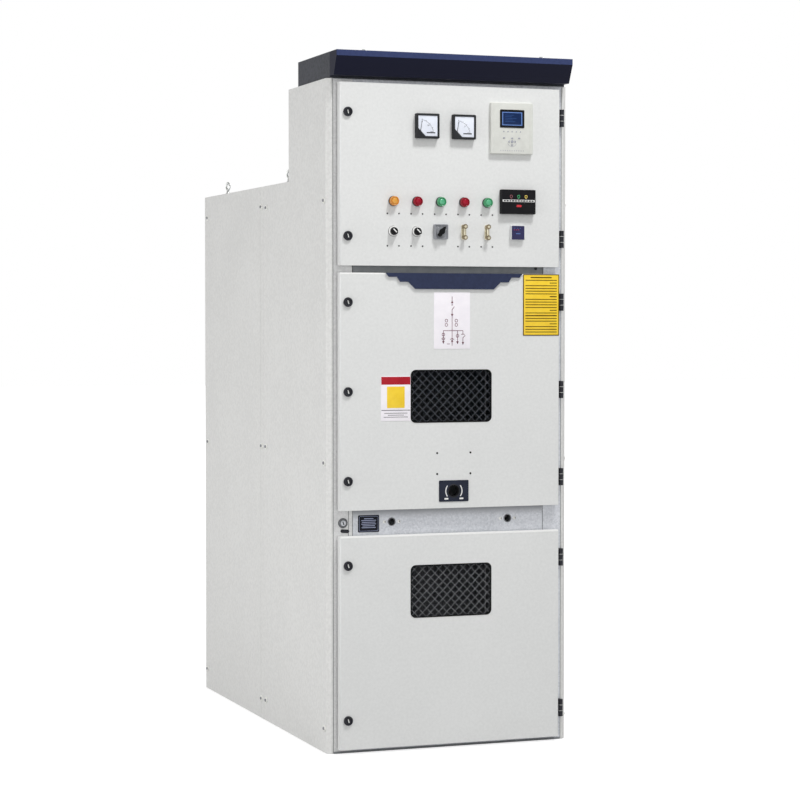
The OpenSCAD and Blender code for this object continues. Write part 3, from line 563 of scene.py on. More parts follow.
# a clean matt white that reads from afar
white_ink = moulded("white_ink", "#f4f4f2", "#ececea", 0.5, 0.5, 0.05)
piece("selector_rings", copies(selector_ring, selectors), white_ink, INSTRUMENTS)
knobs = copies(knob, selectors) + copies(grip, selectors, turn=selector_turn, out=14.6)
piece("selector_knobs", knobs, black_acrylic, INSTRUMENTS, ["selector_switches"])
tips = [at + 1.2 * (Z - X) for at in selectors]
piece("selector_marks", copies(grip_line, tips, turn=selector_turn, out=22), white_ink, INSTRUMENTS)
piece("selector_bases", copies(selector_base, selectors), black_casting, INSTRUMENTS)

# %% [markdown]
# The cam switch has a grey square escutcheon with a sunk face, a boss, and a pointed handle. The
# handle is a loft: its outline is a teardrop, a circle whose far side is pulled out to a tip.


# %% Cam switch
def teardrop(r, tip, count=40):
    """A circle of radius r whose points near the top are pulled up to a tip: the pull is the sixth
    power of how far round towards the top a point is."""
    outline, normals = circle(r, count)
    pull = np.clip(normals[:, 1], 0, 1) ** 6 * (tip - r)
    return outline + np.outer(pull, [0, 1]), normals


cam = switch_row[2]
cam_turn = -35
rim = framed(46, 46, 3, [(0, 0), (0, 8.8), (-0.4, 9.7), (-1.2, 10), (-3.4, 10), (-3.8, 9.2), (-4, 7.5)])
# a cool grey that sets off the black handle
plate_abs = moulded("light_grey_abs", "#96989d", "#888a90", 0.42)
piece("cam_switch_escutcheon", [stand(rim, cam)], plate_abs, INSTRUMENTS, ["cam_switch"])
boss = turned([(15.5, 7.4), (15.5, 11.4), (14.8, 12.4), (5, 12.6)], 48)
piece("cam_switch_boss", [stand(boss, cam)], grey_abs, INSTRUMENTS)
handle = carried(*teardrop(8.2, 19), [(0, 12), (0, 20.4), (-0.6, 21.5), (-1.8, 22)])
tail = slab(11, 22, 9.2, 3.2, 1.2)
tail_at = cam - 12 * Y - 5 * Z - 4 * X
handle_parts = [stand(handle, cam, turn=cam_turn), stand(tail, tail_at, turn=cam_turn)]
piece("cam_switch_handle", handle_parts, rubber, INSTRUMENTS)
cam_tick = slab(1.1, 3.4, 0.4, 0.3, 0.1)
cam_ticks = [stand(cam_tick, cam + polar(18.2, a) - 7.5 * Y, turn=a - 90) for a in (125, 90, 55, 20)]
piece("cam_switch_ticks", cam_ticks, white_ink, INSTRUMENTS)

# %% [markdown]
# The test links are brass: a stamped foot, two studs with knurled nuts, and a bar that is swung
# across them. The knurl is a cosine again, finer than on the lamps.

# %% Test links
stud_step = 17
foot = slab(15, 46, 2, 4, 0.5)
bar = slab(8, 44, 2.2, 3.8, 0.6)
stud = turned([(4, 0), (4, 19.4), (3.2, 20.2), (1, 20.4)], 24)
nut = turned([(6.6, 0), (7.3, 0.6), (7.3, 4.6), (6.6, 5.2), (2, 5.4)], 72, 24, 0.03)
nut_collar = turned([(5.4, 2), (5.4, 6.2), (4.8, 6.8), (4.1, 6.9)], 32)
links = switch_row[3:]
studs = [at + s * stud_step * Z for at in links for s in (-1, 1)]
link_parts = copies(foot, links) + copies(bar, links, out=10.5) + copies(stud, studs)
piece("test_link_brass", link_parts, brass, INSTRUMENTS, ["test_links"])
nuts = copies(nut, studs, out=12.8) + copies(nut_collar, studs)
piece("test_link_nuts", nuts, bronze, INSTRUMENTS)

# %% [markdown]
# The panel meters are moving-iron instruments: a black bezel, a white dial under clear plastic and
# a closed corner over the movement. The corner is a low prism whose top is drawn in a little.

# %% Meter bezels and dials
meter_w = 76
meter_box = node_box("meters")
meter_z = meter_box.mean(0)[2]
meter_x = [meter_box[0][0] + meter_w / 2, meter_box[1][0] - meter_w / 2]
meters = [on_door(x, meter_z) for x in meter_x]
# a bluish white, brighter than the doors around it
dial_white = moulded("printed_dial", "#edf1fa", "#e4e9f5", 0.45, 0.6, 0.03)
# soft black lines, matt like print
dial_ink = moulded("dial_ink", "#26272b", "#1d1e22", 0.55, 0.5, 0.03, shine=0.2)
bezel = framed(meter_w, meter_w, 3, [(0, 0), (0, 14.2), (-0.5, 15.4), (-1.5, 16), (-4.9, 16), (-5.4, 15.4),
                                     (-6, 13.2), (-7.5, 13)])
corner = np.array([[-33, -33], [-7, -33], [-8.5, -31], [-31, -8.5], [-33, -7]])
drawn_in = np.array([[0.4, 0.4], [-0.8, 0.4], [-0.9, -0.3], [-0.3, -0.9], [0.4, -0.8]])
corner_block = prism([(corner, 12.8), (corner, 15.0), (corner + drawn_in, 15.6)])
bezels = copies(bezel, meters) + copies(corner_block, meters)
piece("meter_bezels", bezels, black_abs, INSTRUMENTS, ["meters"])
piece("meter_dials", copies(slab(62.5, 62.5, 0.6, 1, 0.1), meters, out=13), dial_white, INSTRUMENTS)

# %% [markdown]
# The pointer swings about the closed corner, so the scale is a quarter circle about it, with long
# and short ticks. Every fifth tick is a long one.


# %% Meter scales
def arc_band(r0, r1, a0, a1, up, steps=24):
    """A flat band between two radii over an angle, 0.2 mm thick: a rectangle carried along an arc."""
    a = np.linspace(np.radians(a0), np.radians(a1), steps)
    r = np.array([r0, r1, r1, r0])
    lift = np.array([up, up, up + 0.2, up + 0.2])
    return skin(np.stack([np.outer(np.cos(a), r), np.outer(np.sin(a), r), np.tile(lift, (steps, 1))], 2))


pivot_step, scale_r, dial_out = -26, 44, 13.6
needle = [[-1.1, 0], [1.1, 0], [0.35, 45], [-0.35, 45]]
pointer = prism([(needle, 14.3), (needle, 14.7)])
scale_marks = []
for x in meter_x:
    pivot = on_door(x + pivot_step, meter_z + pivot_step)
    scale_marks.append(stand(arc_band(scale_r, scale_r + 0.5, 8, 82, dial_out), pivot))
    for k, a in enumerate(np.linspace(82, 8, 21)):
        width, long = (0.45, 2.2) if k % 5 else (0.8, 4.2)
        spot = pivot + polar(scale_r + long / 2, a) - dial_out * Y
        scale_marks.append(stand(slab(width, long, 0.2, 0.1, 0.05), spot, turn=a - 90))
    scale_marks.append(stand(pointer, pivot, turn=-9))
    scale_marks.append(stand(slab(28, 3.2, 0.2, 0.3, 0.05), on_door(x + 10, meter_z - 21, dial_out)))
piece("meter_scales", scale_marks, dial_ink, INSTRUMENTS)

# %% [markdown]
# Three plain numerals stand inside each scale. Blender's own font gives their outlines, which are
# made solid and then handled like every other shape.


# %% Meter numerals
def numeral(text, size):
    """A plain numeral as a shape: the built-in font's outline, filled and made solid."""
    curve = bpy.data.curves.new("numeral", "FONT")
    curve.body, curve.size, curve.extrude = text, size, 0.1
    curve.align_x, curve.align_y = "CENTER", "CENTER"
    holder = bpy.data.objects.new("numeral", curve)
    mesh = bpy.data.meshes.new_from_object(holder)
    points = np.empty(len(mesh.vertices) * 3, np.float32)
    mesh.vertices.foreach_get("co", points)
    shape = points.reshape(-1, 3).astype(float), [list(p.vertices) for p in mesh.polygons]
    bpy.data.objects.remove(holder)
    bpy.data.meshes.remove(mesh)
    bpy.data.curves.remove(curve)
    return shape


numerals = []
for x, values in zip(meter_x, (("0", "50", "100"), ("0", "6", "12"))):
    pivot = on_door(x + pivot_step, meter_z + pivot_step, dial_out + 0.1)
    numerals += [stand(numeral(text, 6.5), pivot + polar(38.5, a)) for text, a in zip(values, (80, 45, 11))]
piece("meter_numerals", numerals, dial_ink, INSTRUMENTS)

# %% [markdown]
# The protection relay is a cream moulding with two ribs and a sunk liquid crystal screen in a black
# frame. The screen is lit, so its blue glows a little by itself: the colour goes to the shader's
# emission too.


# %% Relay front and screen
def lit_film(name, light, dark, glow, cell_mm):
    """A lit film: square cells that differ a little in brightness, and a glow of its own."""
    material, tree, place = start(name)
    cells = add(tree, "TexVoronoi", {"Vector": place, "Scale": 1 / (cell_mm * mm)}, distance="CHEBYCHEV")
    colour = blend(tree, spread(tree, cells["Distance"], 0, 0.8), light, dark)
    join(shader(material), {"Base Color": colour, "Emission Color": colour, "Emission Strength": glow,
                            "Roughness": 0.25, "Specular IOR Level": 0.2})
    return material


relay_at = door_middle("relay")
relay_body = framed(142, 160, 4, [(0, 0), (0, 9.4), (-0.6, 11), (-1.8, 11.8), (-3.2, 12)])
ribs = [relay_at + s * 61 * X for s in (-1, 1)]
relay_parts = [stand(relay_body, relay_at)] + copies(slab(1.6, 158, 1.2, 0.6, 0.4), ribs, out=11.6)
piece("relay_front", relay_parts, cream_abs, INSTRUMENTS, ["relay"])
screen_at = relay_at + [0, -11.9, 30]
screen_frame = framed(82, 56, 3, [(0, 0), (0, 1.2), (-0.6, 1.8), (-6.4, 1.8), (-7, 1.2), (-7.2, 0.5)])
piece("relay_screen_frame", [stand(screen_frame, screen_at)], black_acrylic, INSTRUMENTS)
# a dark lit blue, its brighter edge and the lines of its picture
screen_blue = lit_film("lcd_blue", "#122a55", "#0d244c", 0.05, 4.0)
screen_edge = lit_film("lcd_backlight_edge", "#6688c6", "#5878b6", 0.12, 6.0)
screen_line = lit_film("lcd_lines", "#34548c", "#2b4a80", 0.1, 3.0)
piece("relay_screen_edge", copies(slab(68, 42, 0.4, 1, 0.1), [screen_at], out=0.5), screen_edge, INSTRUMENTS)
piece("relay_screen", copies(slab(61, 36, 0.4, 1, 0.1), [screen_at], out=0.9), screen_blue, INSTRUMENTS)
screen_rows = [stand(slab(w, 1.3, 0.2, 0.3, 0.05), screen_at + [w / 2 - 24, -1.3, z])
               for w, z in ((30, 11), (22, 6), (38, 1), (26, -4), (34, -9))]
piece("relay_screen_rows", screen_rows, screen_line, INSTRUMENTS)

# %% [markdown]
# Under the screen are five small signal lights, a round keypad with four arrows, two keys beside it
# and a row of marks along the lower edge. All are grey silicone and print, so they share a piece.

# %% Relay keys
# a soft grey, only a little darker than the case
key_grey = moulded("grey_silicone_keys", "#a9abb4", "#9c9ea8", 0.6, 0.8, 0.1)
relay_out = 12 * -Y
signal = turned([(2.1, 0), (2.1, 0.5), (1.5, 1.1), (0.5, 1.3)], 16)
keys = copies(signal, [relay_at + relay_out + [x, 0, -10] for x in np.linspace(-28, 28, 5)])
key_plan = np.array([[-4.2, 0], [4.2, 0], [2.6, 3.2], [0, 4.6], [-2.6, 3.2]])
arrow_key = prism([(key_plan, 0), (key_plan, 0.9), (key_plan * 0.85, 1.4)])
pad_at = relay_at + relay_out - 41 * Z
keys += [stand(arrow_key, pad_at + polar(8.6, a), turn=a - 90) for a in (0, 90, 180, 270)]
keys.append(stand(turned([(4.6, 0), (4.6, 0.9), (4, 1.4), (1, 1.5)], 24), pad_at))
keys.append(stand(arc_band(15, 16, 200, 340, 0), pad_at))
keys += copies(slab(7, 4, 1.2, 1.2, 0.4), [pad_at + [x, 0, 11] for x in (-27, 24)])
marks = [relay_at + relay_out + [x, 0, -69] for x in np.linspace(-38, 38, 11)]
keys += copies(slab(2.0, 3.2, 0.4, 0.5, 0.1), marks)
piece("relay_keys", keys, key_grey, INSTRUMENTS)

# %% [markdown]
# The voltage display shows by three neon windows whether each phase is live. It is a black case
# with drop-shaped outlines in three colours, a white strip and a red test button. The drop is the
# same teardrop as the cam switch's handle, carried twice to make a ring.

# %% Voltage display
display_at = door_middle("voltage_display")
display_w = np.ptp(node_box("voltage_display")[:, 0])
case_profile = [(0, 0), (0, 14.4), (-0.6, 15.6), (-1.6, 16), (-3, 16), (-3.4, 15.5)]
display_case = framed(display_w, 76, 2.5, case_profile)
piece("voltage_display_case", [stand(display_case, display_at)], black_acrylic, INSTRUMENTS,
      ["voltage_display"])
drop_profile = [(0, 0), (0, 0.7), (-0.3, 1.0), (-1.3, 1.0), (-1.6, 0.7), (-1.6, 0)]
drop_ring = carried(*teardrop(4.6, 7.5), drop_profile, loop=True)
inks = (("rose", "#96646a", "#865459"), ("mint", "#4fae76", "#429a66"), ("straw", "#e8d070", "#d8c060"))
for (shade, light_hex, dark_hex), x in zip(inks, (-25, 0, 25)):
    # a faint neon glow, one colour for each phase
    neon = lit_film("neon_" + shade, light_hex, dark_hex, 0.25, 3.0)
    drop = stand(drop_ring, display_at + [x, -15.5, 17], turn=180)
    piece("display_drop_" + shade, [drop], neon, INSTRUMENTS)
strip = slab(display_w - 8, 6.6, 0.5, 0.6, 0.1)
piece("display_strip", [stand(strip, display_at + [0, -15.5, 3])], white_ink, INSTRUMENTS)
tick_widths = (7, 8, 6, 8.4, 7, 8, 7, 8.4, 6, 8, 7)
strip_ticks = [stand(slab(w, 4.0, 0.2, 0.3, 0.05), display_at + [x, -16.0, 3])
               for x, w in zip(np.linspace(-47, 47, 11), tick_widths)]
piece("display_strip_ticks", strip_ticks, dial_ink, INSTRUMENTS)
# a small warm glow
button_red = lit_film("lit_red_button", "#cf3a42", "#b62c36", 0.12, 3.0)
button = slab(17, 7, 2.0, 3, 0.8)
piece("display_button", [stand(button, display_at + [1, -15.6, -13])], button_red, INSTRUMENTS)

# %% [markdown]
# The heater controller is a pale case with a printed blue film on its face, a short pale line and
# three pin-head lights.

# %% Heater controller
control_at = door_middle("heater_controller")
film_at = control_at - 12 * Y
control_case = framed(46, 46, 2.5, [(0, 0), (0, 9.6), (-0.8, 11), (-2, 11.4)])
piece("heater_controller_case", [stand(control_case, control_at)], pale_abs, INSTRUMENTS,
      ["heater_controller"])
# a violet blue with a dull gloss
film_blue = moulded("printed_blue_film", "#37365c", "#2e2d52", 0.4, 0.8, 0.05, shine=0.2)
film = copies(slab(42.5, 43, 0.8, 2, 0.3), [control_at], out=11.2)
piece("heater_controller_face", film, film_blue, INSTRUMENTS)
film_lines = [stand(slab(15, 1.8, 0.2, 0.4, 0.05), film_at - 3 * Z)]
film_lines += copies(slab(3, 1.2, 0.2, 0.3, 0.05), [film_at + [x, 0, 14] for x in (-12, -2, 8)])
# painted light: the pale lines take the lit edge film of the screen, so they glow a little though they are
# print
piece("heater_controller_lines", film_lines, screen_edge, INSTRUMENTS)
pin_light = turned([(1.3, 0), (1.3, 0.4), (0.8, 0.8), (0.2, 0.9)], 12)
pin_lights = copies(pin_light, [film_at + [x, 0, 9] for x in (-13, -6, 1)])
piece("heater_controller_dots", pin_lights, button_red, INSTRUMENTS)

# %% [markdown]
# Pairs of small blind rivets sit in the doors: a pair under each lamp and under most switches, and
# two pairs over the crank plate. They are domed heads, dark against the paint.

# %% Blind rivets
small_rivet = turned([(2.5, 0), (2.5, 0.4), (1.9, 0.9), (0.5, 1.1)], 12)
under = [(x, lamp_z - 38) for x in lamp_x] + [(x, switch_z - 45) for x in lamp_x[[0, 1, 3, 4]]]
pairs = [on_door(x + s * 19, z) for x, z in under for s in (-1, 1)]
piece("label_rivets", copies(small_rivet, pairs), rubber, INSTRUMENTS)
rivet = turned([(3.2, 0), (3.2, 0.4), (2.4, 0.9), (0.6, 1.1)], 12)
over_crank = [on_door(x, z) for x in (-50, 61) for z in (921.5, 856.5)]
piece("blind_rivets", copies(rivet, over_crank), rubber, "breaker_door")

# %% [markdown]
# The doors close with quarter-turn locks: a black head with a raised rim, and a sunk plug with a
# bar for a double-bit key. The head is turned, and the bar is a small slab. The tall breaker door
# has a third lock, and a third hinge, at half height.


# %% Quarter-turn locks
def in_line(door, fitting, inset):
    """Middles of a door's fittings one above another: inset from both ends, and half way on the
    breaker door."""
    lo, hi = node_box(door + fitting)
    heights = [lo[2] + inset, hi[2] - inset] + [(lo[2] + hi[2]) / 2] * (door == "breaker")
    return (lo[0] + hi[0]) / 2, heights


head_r = 14.5
lock_head = turned([(13.6, 0), (head_r, 0.6), (head_r, 4.6), (13.6, 6.4), (12.2, 7), (10.4, 6.8), (9.8, 5.4),
                    (9.6, 3.2), (3, 3.0)], 48)
key_bar = slab(3.2, 12, 3.2, 1.2, 0.5)
locks = {}
for door in doors:
    lock_x, heights = in_line(door, "_locks", head_r)
    locks[door] = [on_door(lock_x, z) for z in heights]
    piece(door + "_lock_heads", copies(lock_head, locks[door]), black_casting, door + "_door",
          [door + "_locks"])
    piece(door + "_lock_bars", copies(key_bar, locks[door], turn=15, out=3), bright_zinc, door + "_door")

# %% [markdown]
# Behind each window pane lies a woven wire guard, set on the diagonal. Each wire is a thin tube that
# rises and dips over the wires that cross it, as a sine along its length, and the wires are cut
# off at the edge of the pane.


# %% Window guards
def wire(start_point, end_point, phase, r=0.9, pitch=19.1, sides=6):
    """A tube along a straight line whose depth swings as a sine, one half wave per crossing."""
    a, b = np.array(start_point, float), np.array(end_point, float)
    length = np.linalg.norm(b - a)
    s = np.linspace(0, length, max(int(length / pitch * 4), 2))
    way = (b - a) / length
    across = np.array([-way[1], way[0]])
    u = np.linspace(0, 2 * np.pi, sides, endpoint=False)
    middle = a + s[:, None] * way
    depth = 0.9 * np.sin(np.pi * s / pitch + phase)
    flat = middle[:, None] + r * np.cos(u)[None, :, None] * across
    rise = depth[:, None] + r * np.sin(u)[None]
    return skin(np.concatenate([flat, rise[..., None]], 2))


def guard(w, h, pitch=27.0, shortest=6):
    """Wires at 45 degrees both ways inside a w by h rectangle, pitch apart along its width."""
    wires = []
    for lean, phase in ((1, 0.0), (-1, np.pi)):
        for c in np.arange(-(w + h) / 2 + pitch / 2, (w + h) / 2, pitch):
            x0, x1 = max(-w / 2, c - h / 2), min(w / 2, c + h / 2)
            if x1 - x0 > shortest:
                wires.append(wire((x0, lean * (x0 - c)), (x1, lean * (x1 - c)), phase))
    return wires


gasket_profile = [(-2.6, 0), (0.6, 0), (0.9, 0.5), (0.6, 1.2), (-1.4, 1.3), (-2.6, 0.6)]
gasket = framed(268, 162, 16, gasket_profile, 9, loop=True)
# thin bright lines that stay visible through the dark film; the lower guard's wire is paler, painted light
# for the dimmer lower window
breaker_wire = zinc("breaker_guard_wire", "#e8eefa", "#dfe5f2", 0.5, 3.0, 0.1)
cable_wire_painted_light = zinc("galvanized_wire", "#f3f5fa", "#e8eaf0", 0.5, 3.0, 0.1)
for door, finish in (("breaker", breaker_wire), ("cable", cable_wire_painted_light)):
    window_at = door_middle(door + "_window")
    behind = node_box(door + "_window")[1][1] + 3 - face_y
    piece(door + "_window_gasket", [stand(gasket, window_at)], rubber, door + "_door")
    wires = [stand(shape, window_at + behind * Y) for shape in guard(280, 174)]
    piece(door + "_window_guard", wires, finish, door + "_door")

# %% [markdown]
# The racking crank goes through a round hole in a black plate. Two white arcs beside the hole show
# the ways to turn, and short bars stand under them. A moulded sleeve lines the hole.

# %% Crank plate
crank_at = door_middle("crank_plate")
plate_t = 2.0
# a bluish black with a soft sheen
dress("crank_plate", moulded("anodized_black", "#232838", "#1d2130", 0.4, 1.0, 0.06, shine=0.2))
crank_marks = [stand(arc_band(25.5, 28.5, a - 38, a + 38, plate_t), crank_at) for a in (0, 180)]
bars_at = [crank_at + [x, -plate_t, -24] for x in (-25, 25)]
crank_marks += copies(slab(13, 5, 0.2, 0.8, 0.05), bars_at)
piece("crank_plate_marks", crank_marks, white_ink, "breaker_door")
sleeve = carried(*circle(19.4, 48), [(-1.6, -20), (0, -20), (0, 1.2), (1.4, 2.2), (0.4, 2.8), (-1.0, 2.4),
                                     (-1.6, 1.4)], loop=True)
piece("crank_sleeve", [stand(sleeve, crank_at)], black_abs, "breaker_door")

# %% [markdown]
# A white plate on the breaker door carries a single-line diagram of a generic feeder, drawn with
# thin ribbons: a line down from the busbar, a breaker, two branches and their earths. Arrowheads
# stand for the plug contacts and round loops for the transformers.


# %% Diagram plate
def stroke(x0, z0, x1, z1, width=1.8):
    """A ribbon from one point of the diagram to another, 0.3 mm thick, with square ends."""
    length = math.hypot(x1 - x0, z1 - z0)
    lean = math.degrees(math.atan2(x0 - x1, z1 - z0))
    middle = diagram_at + [(x0 + x1) / 2, 0, (z0 + z1) / 2]
    return stand(slab(width, length + width, 0.3, 0.3, 0.1), middle, turn=lean)


# films: a clean white, and a wine red ink on it
paper_white = moulded("white_film", "#fbf7fc", "#f5f1f7", 0.4, 1.5, 0.03, 0.1)
diagram_red = moulded("diagram_ink", "#74344c", "#662a41", 0.5, 0.8, 0.03)
plate_x, plate_z = -1, 1331.5
diagram_at = on_door(plate_x, plate_z, 0.9)
piece("diagram_plate", [stand(slab(120, 175, 1.0, 2, 0.3), on_door(plate_x, plate_z))], paper_white,
      "breaker_door")
lines = [(0, 74, 0, 54), (7, 43, 0, 34), (0, 34, 0, -76), (-29, -31, 36, -31), (-29, -31, -29, -68),
         (18, -31, 18, -70), (36, -31, 36, -42), (31, -42, 41, -42), (43, -46, 36, -53), (36, -53, 36, -74),
         (0, -55, -6, -58), (0, -55, 6, -58), (-24, -56, -29, -51), (-29, -51, -34, -56),
         (-34, -56, -29, -61), (-29, -61, -24, -56), (-16, -72, -8, -72)]
ink = [stroke(*line) for line in lines]
tip_plan = [[-4, 0], [4, 0], [0.6, 8], [-0.6, 8]]
arrowhead = prism([(tip_plan, 0), (tip_plan, 0.3)])
for x, z, turn in ((0, 54, 0), (0, 21, 180), (0, -66, 0), (-29, -63, 180), (18, -64, 180), (36, -66, 180)):
    ink.append(stand(arrowhead, diagram_at + [x, 0, z], turn=turn))
coil = framed(10, 10.5, 4.6, [(0, 0), (0, 0.3), (-1.7, 0.3), (-1.7, 0)], loop=True)
coils = ((-19, 0), (-19, -13), (14, 0), (14, -13), (18, -47), (-29, -43))
ink += copies(coil, [diagram_at + [x, 0, z] for x, z in coils])
ink.append(stand(slab(4, 4, 0.3, 1.9, 0.1), diagram_at + 49 * Z))
piece("diagram_lines", ink, diagram_red, "breaker_door")

# %% [markdown]
# Two more plates are plain: a yellow one ruled with lines inside a dark border, and a white one
# with a red band, a yellow field and a few rules. Each layer is a thin slab on the one below.

# %% Ruled plates
# strong flat colours that catch the eye first
yellow_film = moulded("yellow_film", "#fbd630", "#f3cb24", 0.4, 1.5, 0.03, 0.1)
red_film = moulded("red_film", "#b51a2b", "#a81425", 0.4, 1.5, 0.03, shine=0.25)
# a brown that stays warm on the yellow
plate_ink = moulded("plate_ink", "#4c3904", "#402f02", 0.5, 0.8, 0.03, shine=0.2)
yellow_x, yellow_z, yellow_w, yellow_h = 299.5, 1381, 123, 192
yellow_plate = slab(yellow_w, yellow_h, 1.0, 1.5, 0.3)
piece("yellow_plate", [stand(yellow_plate, on_door(yellow_x, yellow_z))], yellow_film, "breaker_door")
border = framed(yellow_w, yellow_h, 1.5, [(0.2, 0.4), (0.2, 1.3), (-2.4, 1.3), (-2.4, 0.9)], loop=True)
ruled = [stand(border, on_door(yellow_x, yellow_z))]
title_w, short_w, full_w = 72, 24, 107
for k, z in enumerate(np.linspace(1467, 1296, 21)):
    w = title_w if k == 0 else short_w if k % 5 == 2 else full_w
    aside = 0 if k == 0 else (full_w - w) / 2
    rule = slab(w, 2.4 if k % 7 else 3.4, 0.2, 0.4, 0.05)
    ruled.append(stand(rule, on_door(yellow_x + aside, z, 1.0)))
piece("yellow_plate_rules", ruled, plate_ink, "breaker_door")
notice_x = -186.5
layers = (("plate", slab(97, 138, 0.8, 2, 0.2), 1092, 0.0, paper_white),
          ("band", slab(95, 24, 0.3, 1, 0.1), 1147, 0.7, red_film),
          ("field", slab(58, 66, 0.3, 1, 0.1), 1096, 0.7, yellow_film))
for name, shape, z, out, finish in layers:
    piece("notice_" + name, [stand(shape, on_door(notice_x, z, out))], finish, "breaker_door")
notice_rules = [stand(slab(w, t, 0.2, 0.3, 0.05), on_door(notice_x, z, 0.8))
                for w, t, z in ((94, 1.8, 1056), (76, 1.5, 1047), (52, 1.5, 1041), (80, 1.5, 1035))]
piece("notice_rules", notice_rules, dial_ink, "breaker_door")

# %% [markdown]
# The band between the lower doors is part of the frame. It carries a black plate ruled with pale
# lines, and two operating holes, each with a bush and a nylon screw on either side.

# %% Band plate and operating holes
band_z = node_box("band_rail").mean(0)[2]
plate_at = on_frame(-265.5, 706.5)
# a blue black, its pale print, and a white that marks the screws
black_film = moulded("black_film", "#131622", "#0e1019", 0.45, 1.5, 0.03, shine=0.15)
pale_ink = moulded("pale_ink", "#a3abc6", "#939bb6", 0.5, 0.5, 0.05)
nylon = moulded("white_nylon", "#f6f6f2", "#ecece8", 0.4)
piece("band_plate", [stand(slab(69, 53, 1.2, 3, 0.4), plate_at)], black_film, "housing")
inner = framed(62, 46, 4, [(0, 1.0), (0, 1.4), (-0.9, 1.4), (-0.9, 1.0)], loop=True)
plate_lines = [stand(inner, plate_at)]
plate_lines += [stand(slab(w, 2.4, 0.2, 0.4, 0.05), plate_at + [0, -1.2, z])
                for w, z in ((30, 15.5), (48, 10), (44, 4.5), (48, -1), (40, -6.5), (46, -12))]
piece("band_plate_lines", plate_lines, pale_ink, "housing")
hole_x, screw_step = (-190, 198), 24
screws_at = [on_frame(x + s * screw_step, band_z) for x in hole_x for s in (-1, 1)]
pan_head = turned([(5, 0), (5, 1.0), (4.2, 2.0), (2.6, 2.7), (1, 2.9)], 20)
piece("band_screws", copies(pan_head, screws_at), nylon, "housing")
# painted shadow: a black bar on each nylon head, set right of its middle and drawn like a slot
shade_spots = [at + 1.6 * X for at in screws_at]
piece("band_screw_painted_shadows", copies(slab(1.6, 6.4, 0.5, 0.4, 0.1), shade_spots, out=2.5), black_casting, "housing")
# a tired grey, darker than the sheet around it
dull_zinc = zinc("dull_zinc_casting", "#77797c", "#606265", 0.5, 1.5, 0.4)
bush = carried(*circle(11.4, 40), [(-1.2, -14), (0, -14), (0, 0.3), (1.6, 0.5), (1.2, 1.4), (-0.6, 1.4),
                                   (-1.2, 0.8)], loop=True)
piece("operating_bushes", copies(bush, [on_frame(x, band_z) for x in hole_x]), dull_zinc, "housing")

# %% [markdown]
# The key lock sits on the post beside the band: a dark rose, a cast ring, a plug with a keyway, and
# a flap that hangs under it to close it off.

# %% Key lock
key_at = on_frame(node_box("key_lock")[0][0] + 14, band_z)
rose = turned([(15.4, 0), (15.4, 0.8), (14.6, 1.3), (13, 1.4)], 48)
key_ring = turned([(13.2, 0), (14, 0.8), (14, 4.0), (12.8, 5.8), (11, 6), (10.4, 5.4), (10, 3.2), (2, 3)], 48)
plug = turned([(8.6, 2.6), (8.6, 4.4), (8, 5), (2, 5.1)], 40)
# painted shade: the keyway is a thin black plate on the plug, standing for the dark slot
keyway_shade = stand(slab(3, 12, 0.4, 1.2, 0.1), key_at - 4.9 * Y, turn=20)
flap = stand(slab(28, 11, 2.4, 5, 0.9), key_at + [6, 0, -25], turn=-4)
piece("key_lock_rose", [stand(rose, key_at)], primer_coat, "housing")
piece("key_lock_ring", [stand(key_ring, key_at)], dull_zinc, "housing", ["key_lock"])
piece("key_lock_plug", [stand(plug, key_at)], spangle, "housing")
piece("key_lock_cover", [flap, keyway_shade], black_casting, "housing")

# %% [markdown]
# Fine dark joints show where rails meet posts and where posts meet the end panels. A grey strip in
# the gap between the upper doors, from joint to joint, is painted shadow: the shade of the instrument door.

# %% Frame joints and painted gap shadow
joint_x, rail_z = 318, 1489
post_lo, post_hi = node_box("right_post")
post_mid, post_h = (post_lo[2] + post_hi[2]) / 2, post_hi[2] - post_lo[2]
# a grey that passes for the shadow in a thin gap
joint_dark = moulded("joint_shadow", "#505355", "#444749", 0.8, 1.5, 0.1, shine=0.2)
seams = copies(slab(1.4, 80, 0.15, 0.4, 0.05), [on_frame(x, band_z) for x in (-331, -joint_x, joint_x)])
seams += copies(slab(2.2, 24, 0.15, 0.4, 0.05), [on_frame(s * joint_x, rail_z) for s in (-1, 1)])
post_edges = [on_frame(s * (post_hi[0] - 0.7), post_mid) for s in (-1, 1)]
seams += copies(slab(1.3, post_h - 4, 0.15, 0.4, 0.05), post_edges)
piece("frame_joints", seams, joint_dark, "housing")
# a matt grey, painted shadow for the gap under the instrument door and along the floor
gap_shadow_grey = moulded("painted_gap_shadow", "#8c8f92", "#7c7f82", 0.8, 1.6, 0.2)
rail_painted_shadow = slab(2 * joint_x, 23, 0.1, 0.5, 0.03)
piece("upper_rail_painted_shadow", [stand(rail_painted_shadow, on_frame(0, rail_z))], gap_shadow_grey, "housing")
piece("rail_rivet", [stand(pan_head, on_frame(293, rail_z + 7))], black_casting, "housing")

# %% [markdown]
# A pale line is painted along the top fold of each lower door: painted highlight, where the top edge
# catches the light from above. The zinc along the top of the band is painted darker, painted shadow of
# the door above: the same zinc is mixed with a darker one by height. A grey strip of painted shadow
# runs along the frame's foot, where it meets the floor.

# %% Painted edge highlights and painted shadow on the zinc
# nearly white: painted highlight on the lit top edge
highlight_coat = powder_coat("powder_coat_painted_highlight", "#fbfbfa", "#f6f6f5", 0.4)
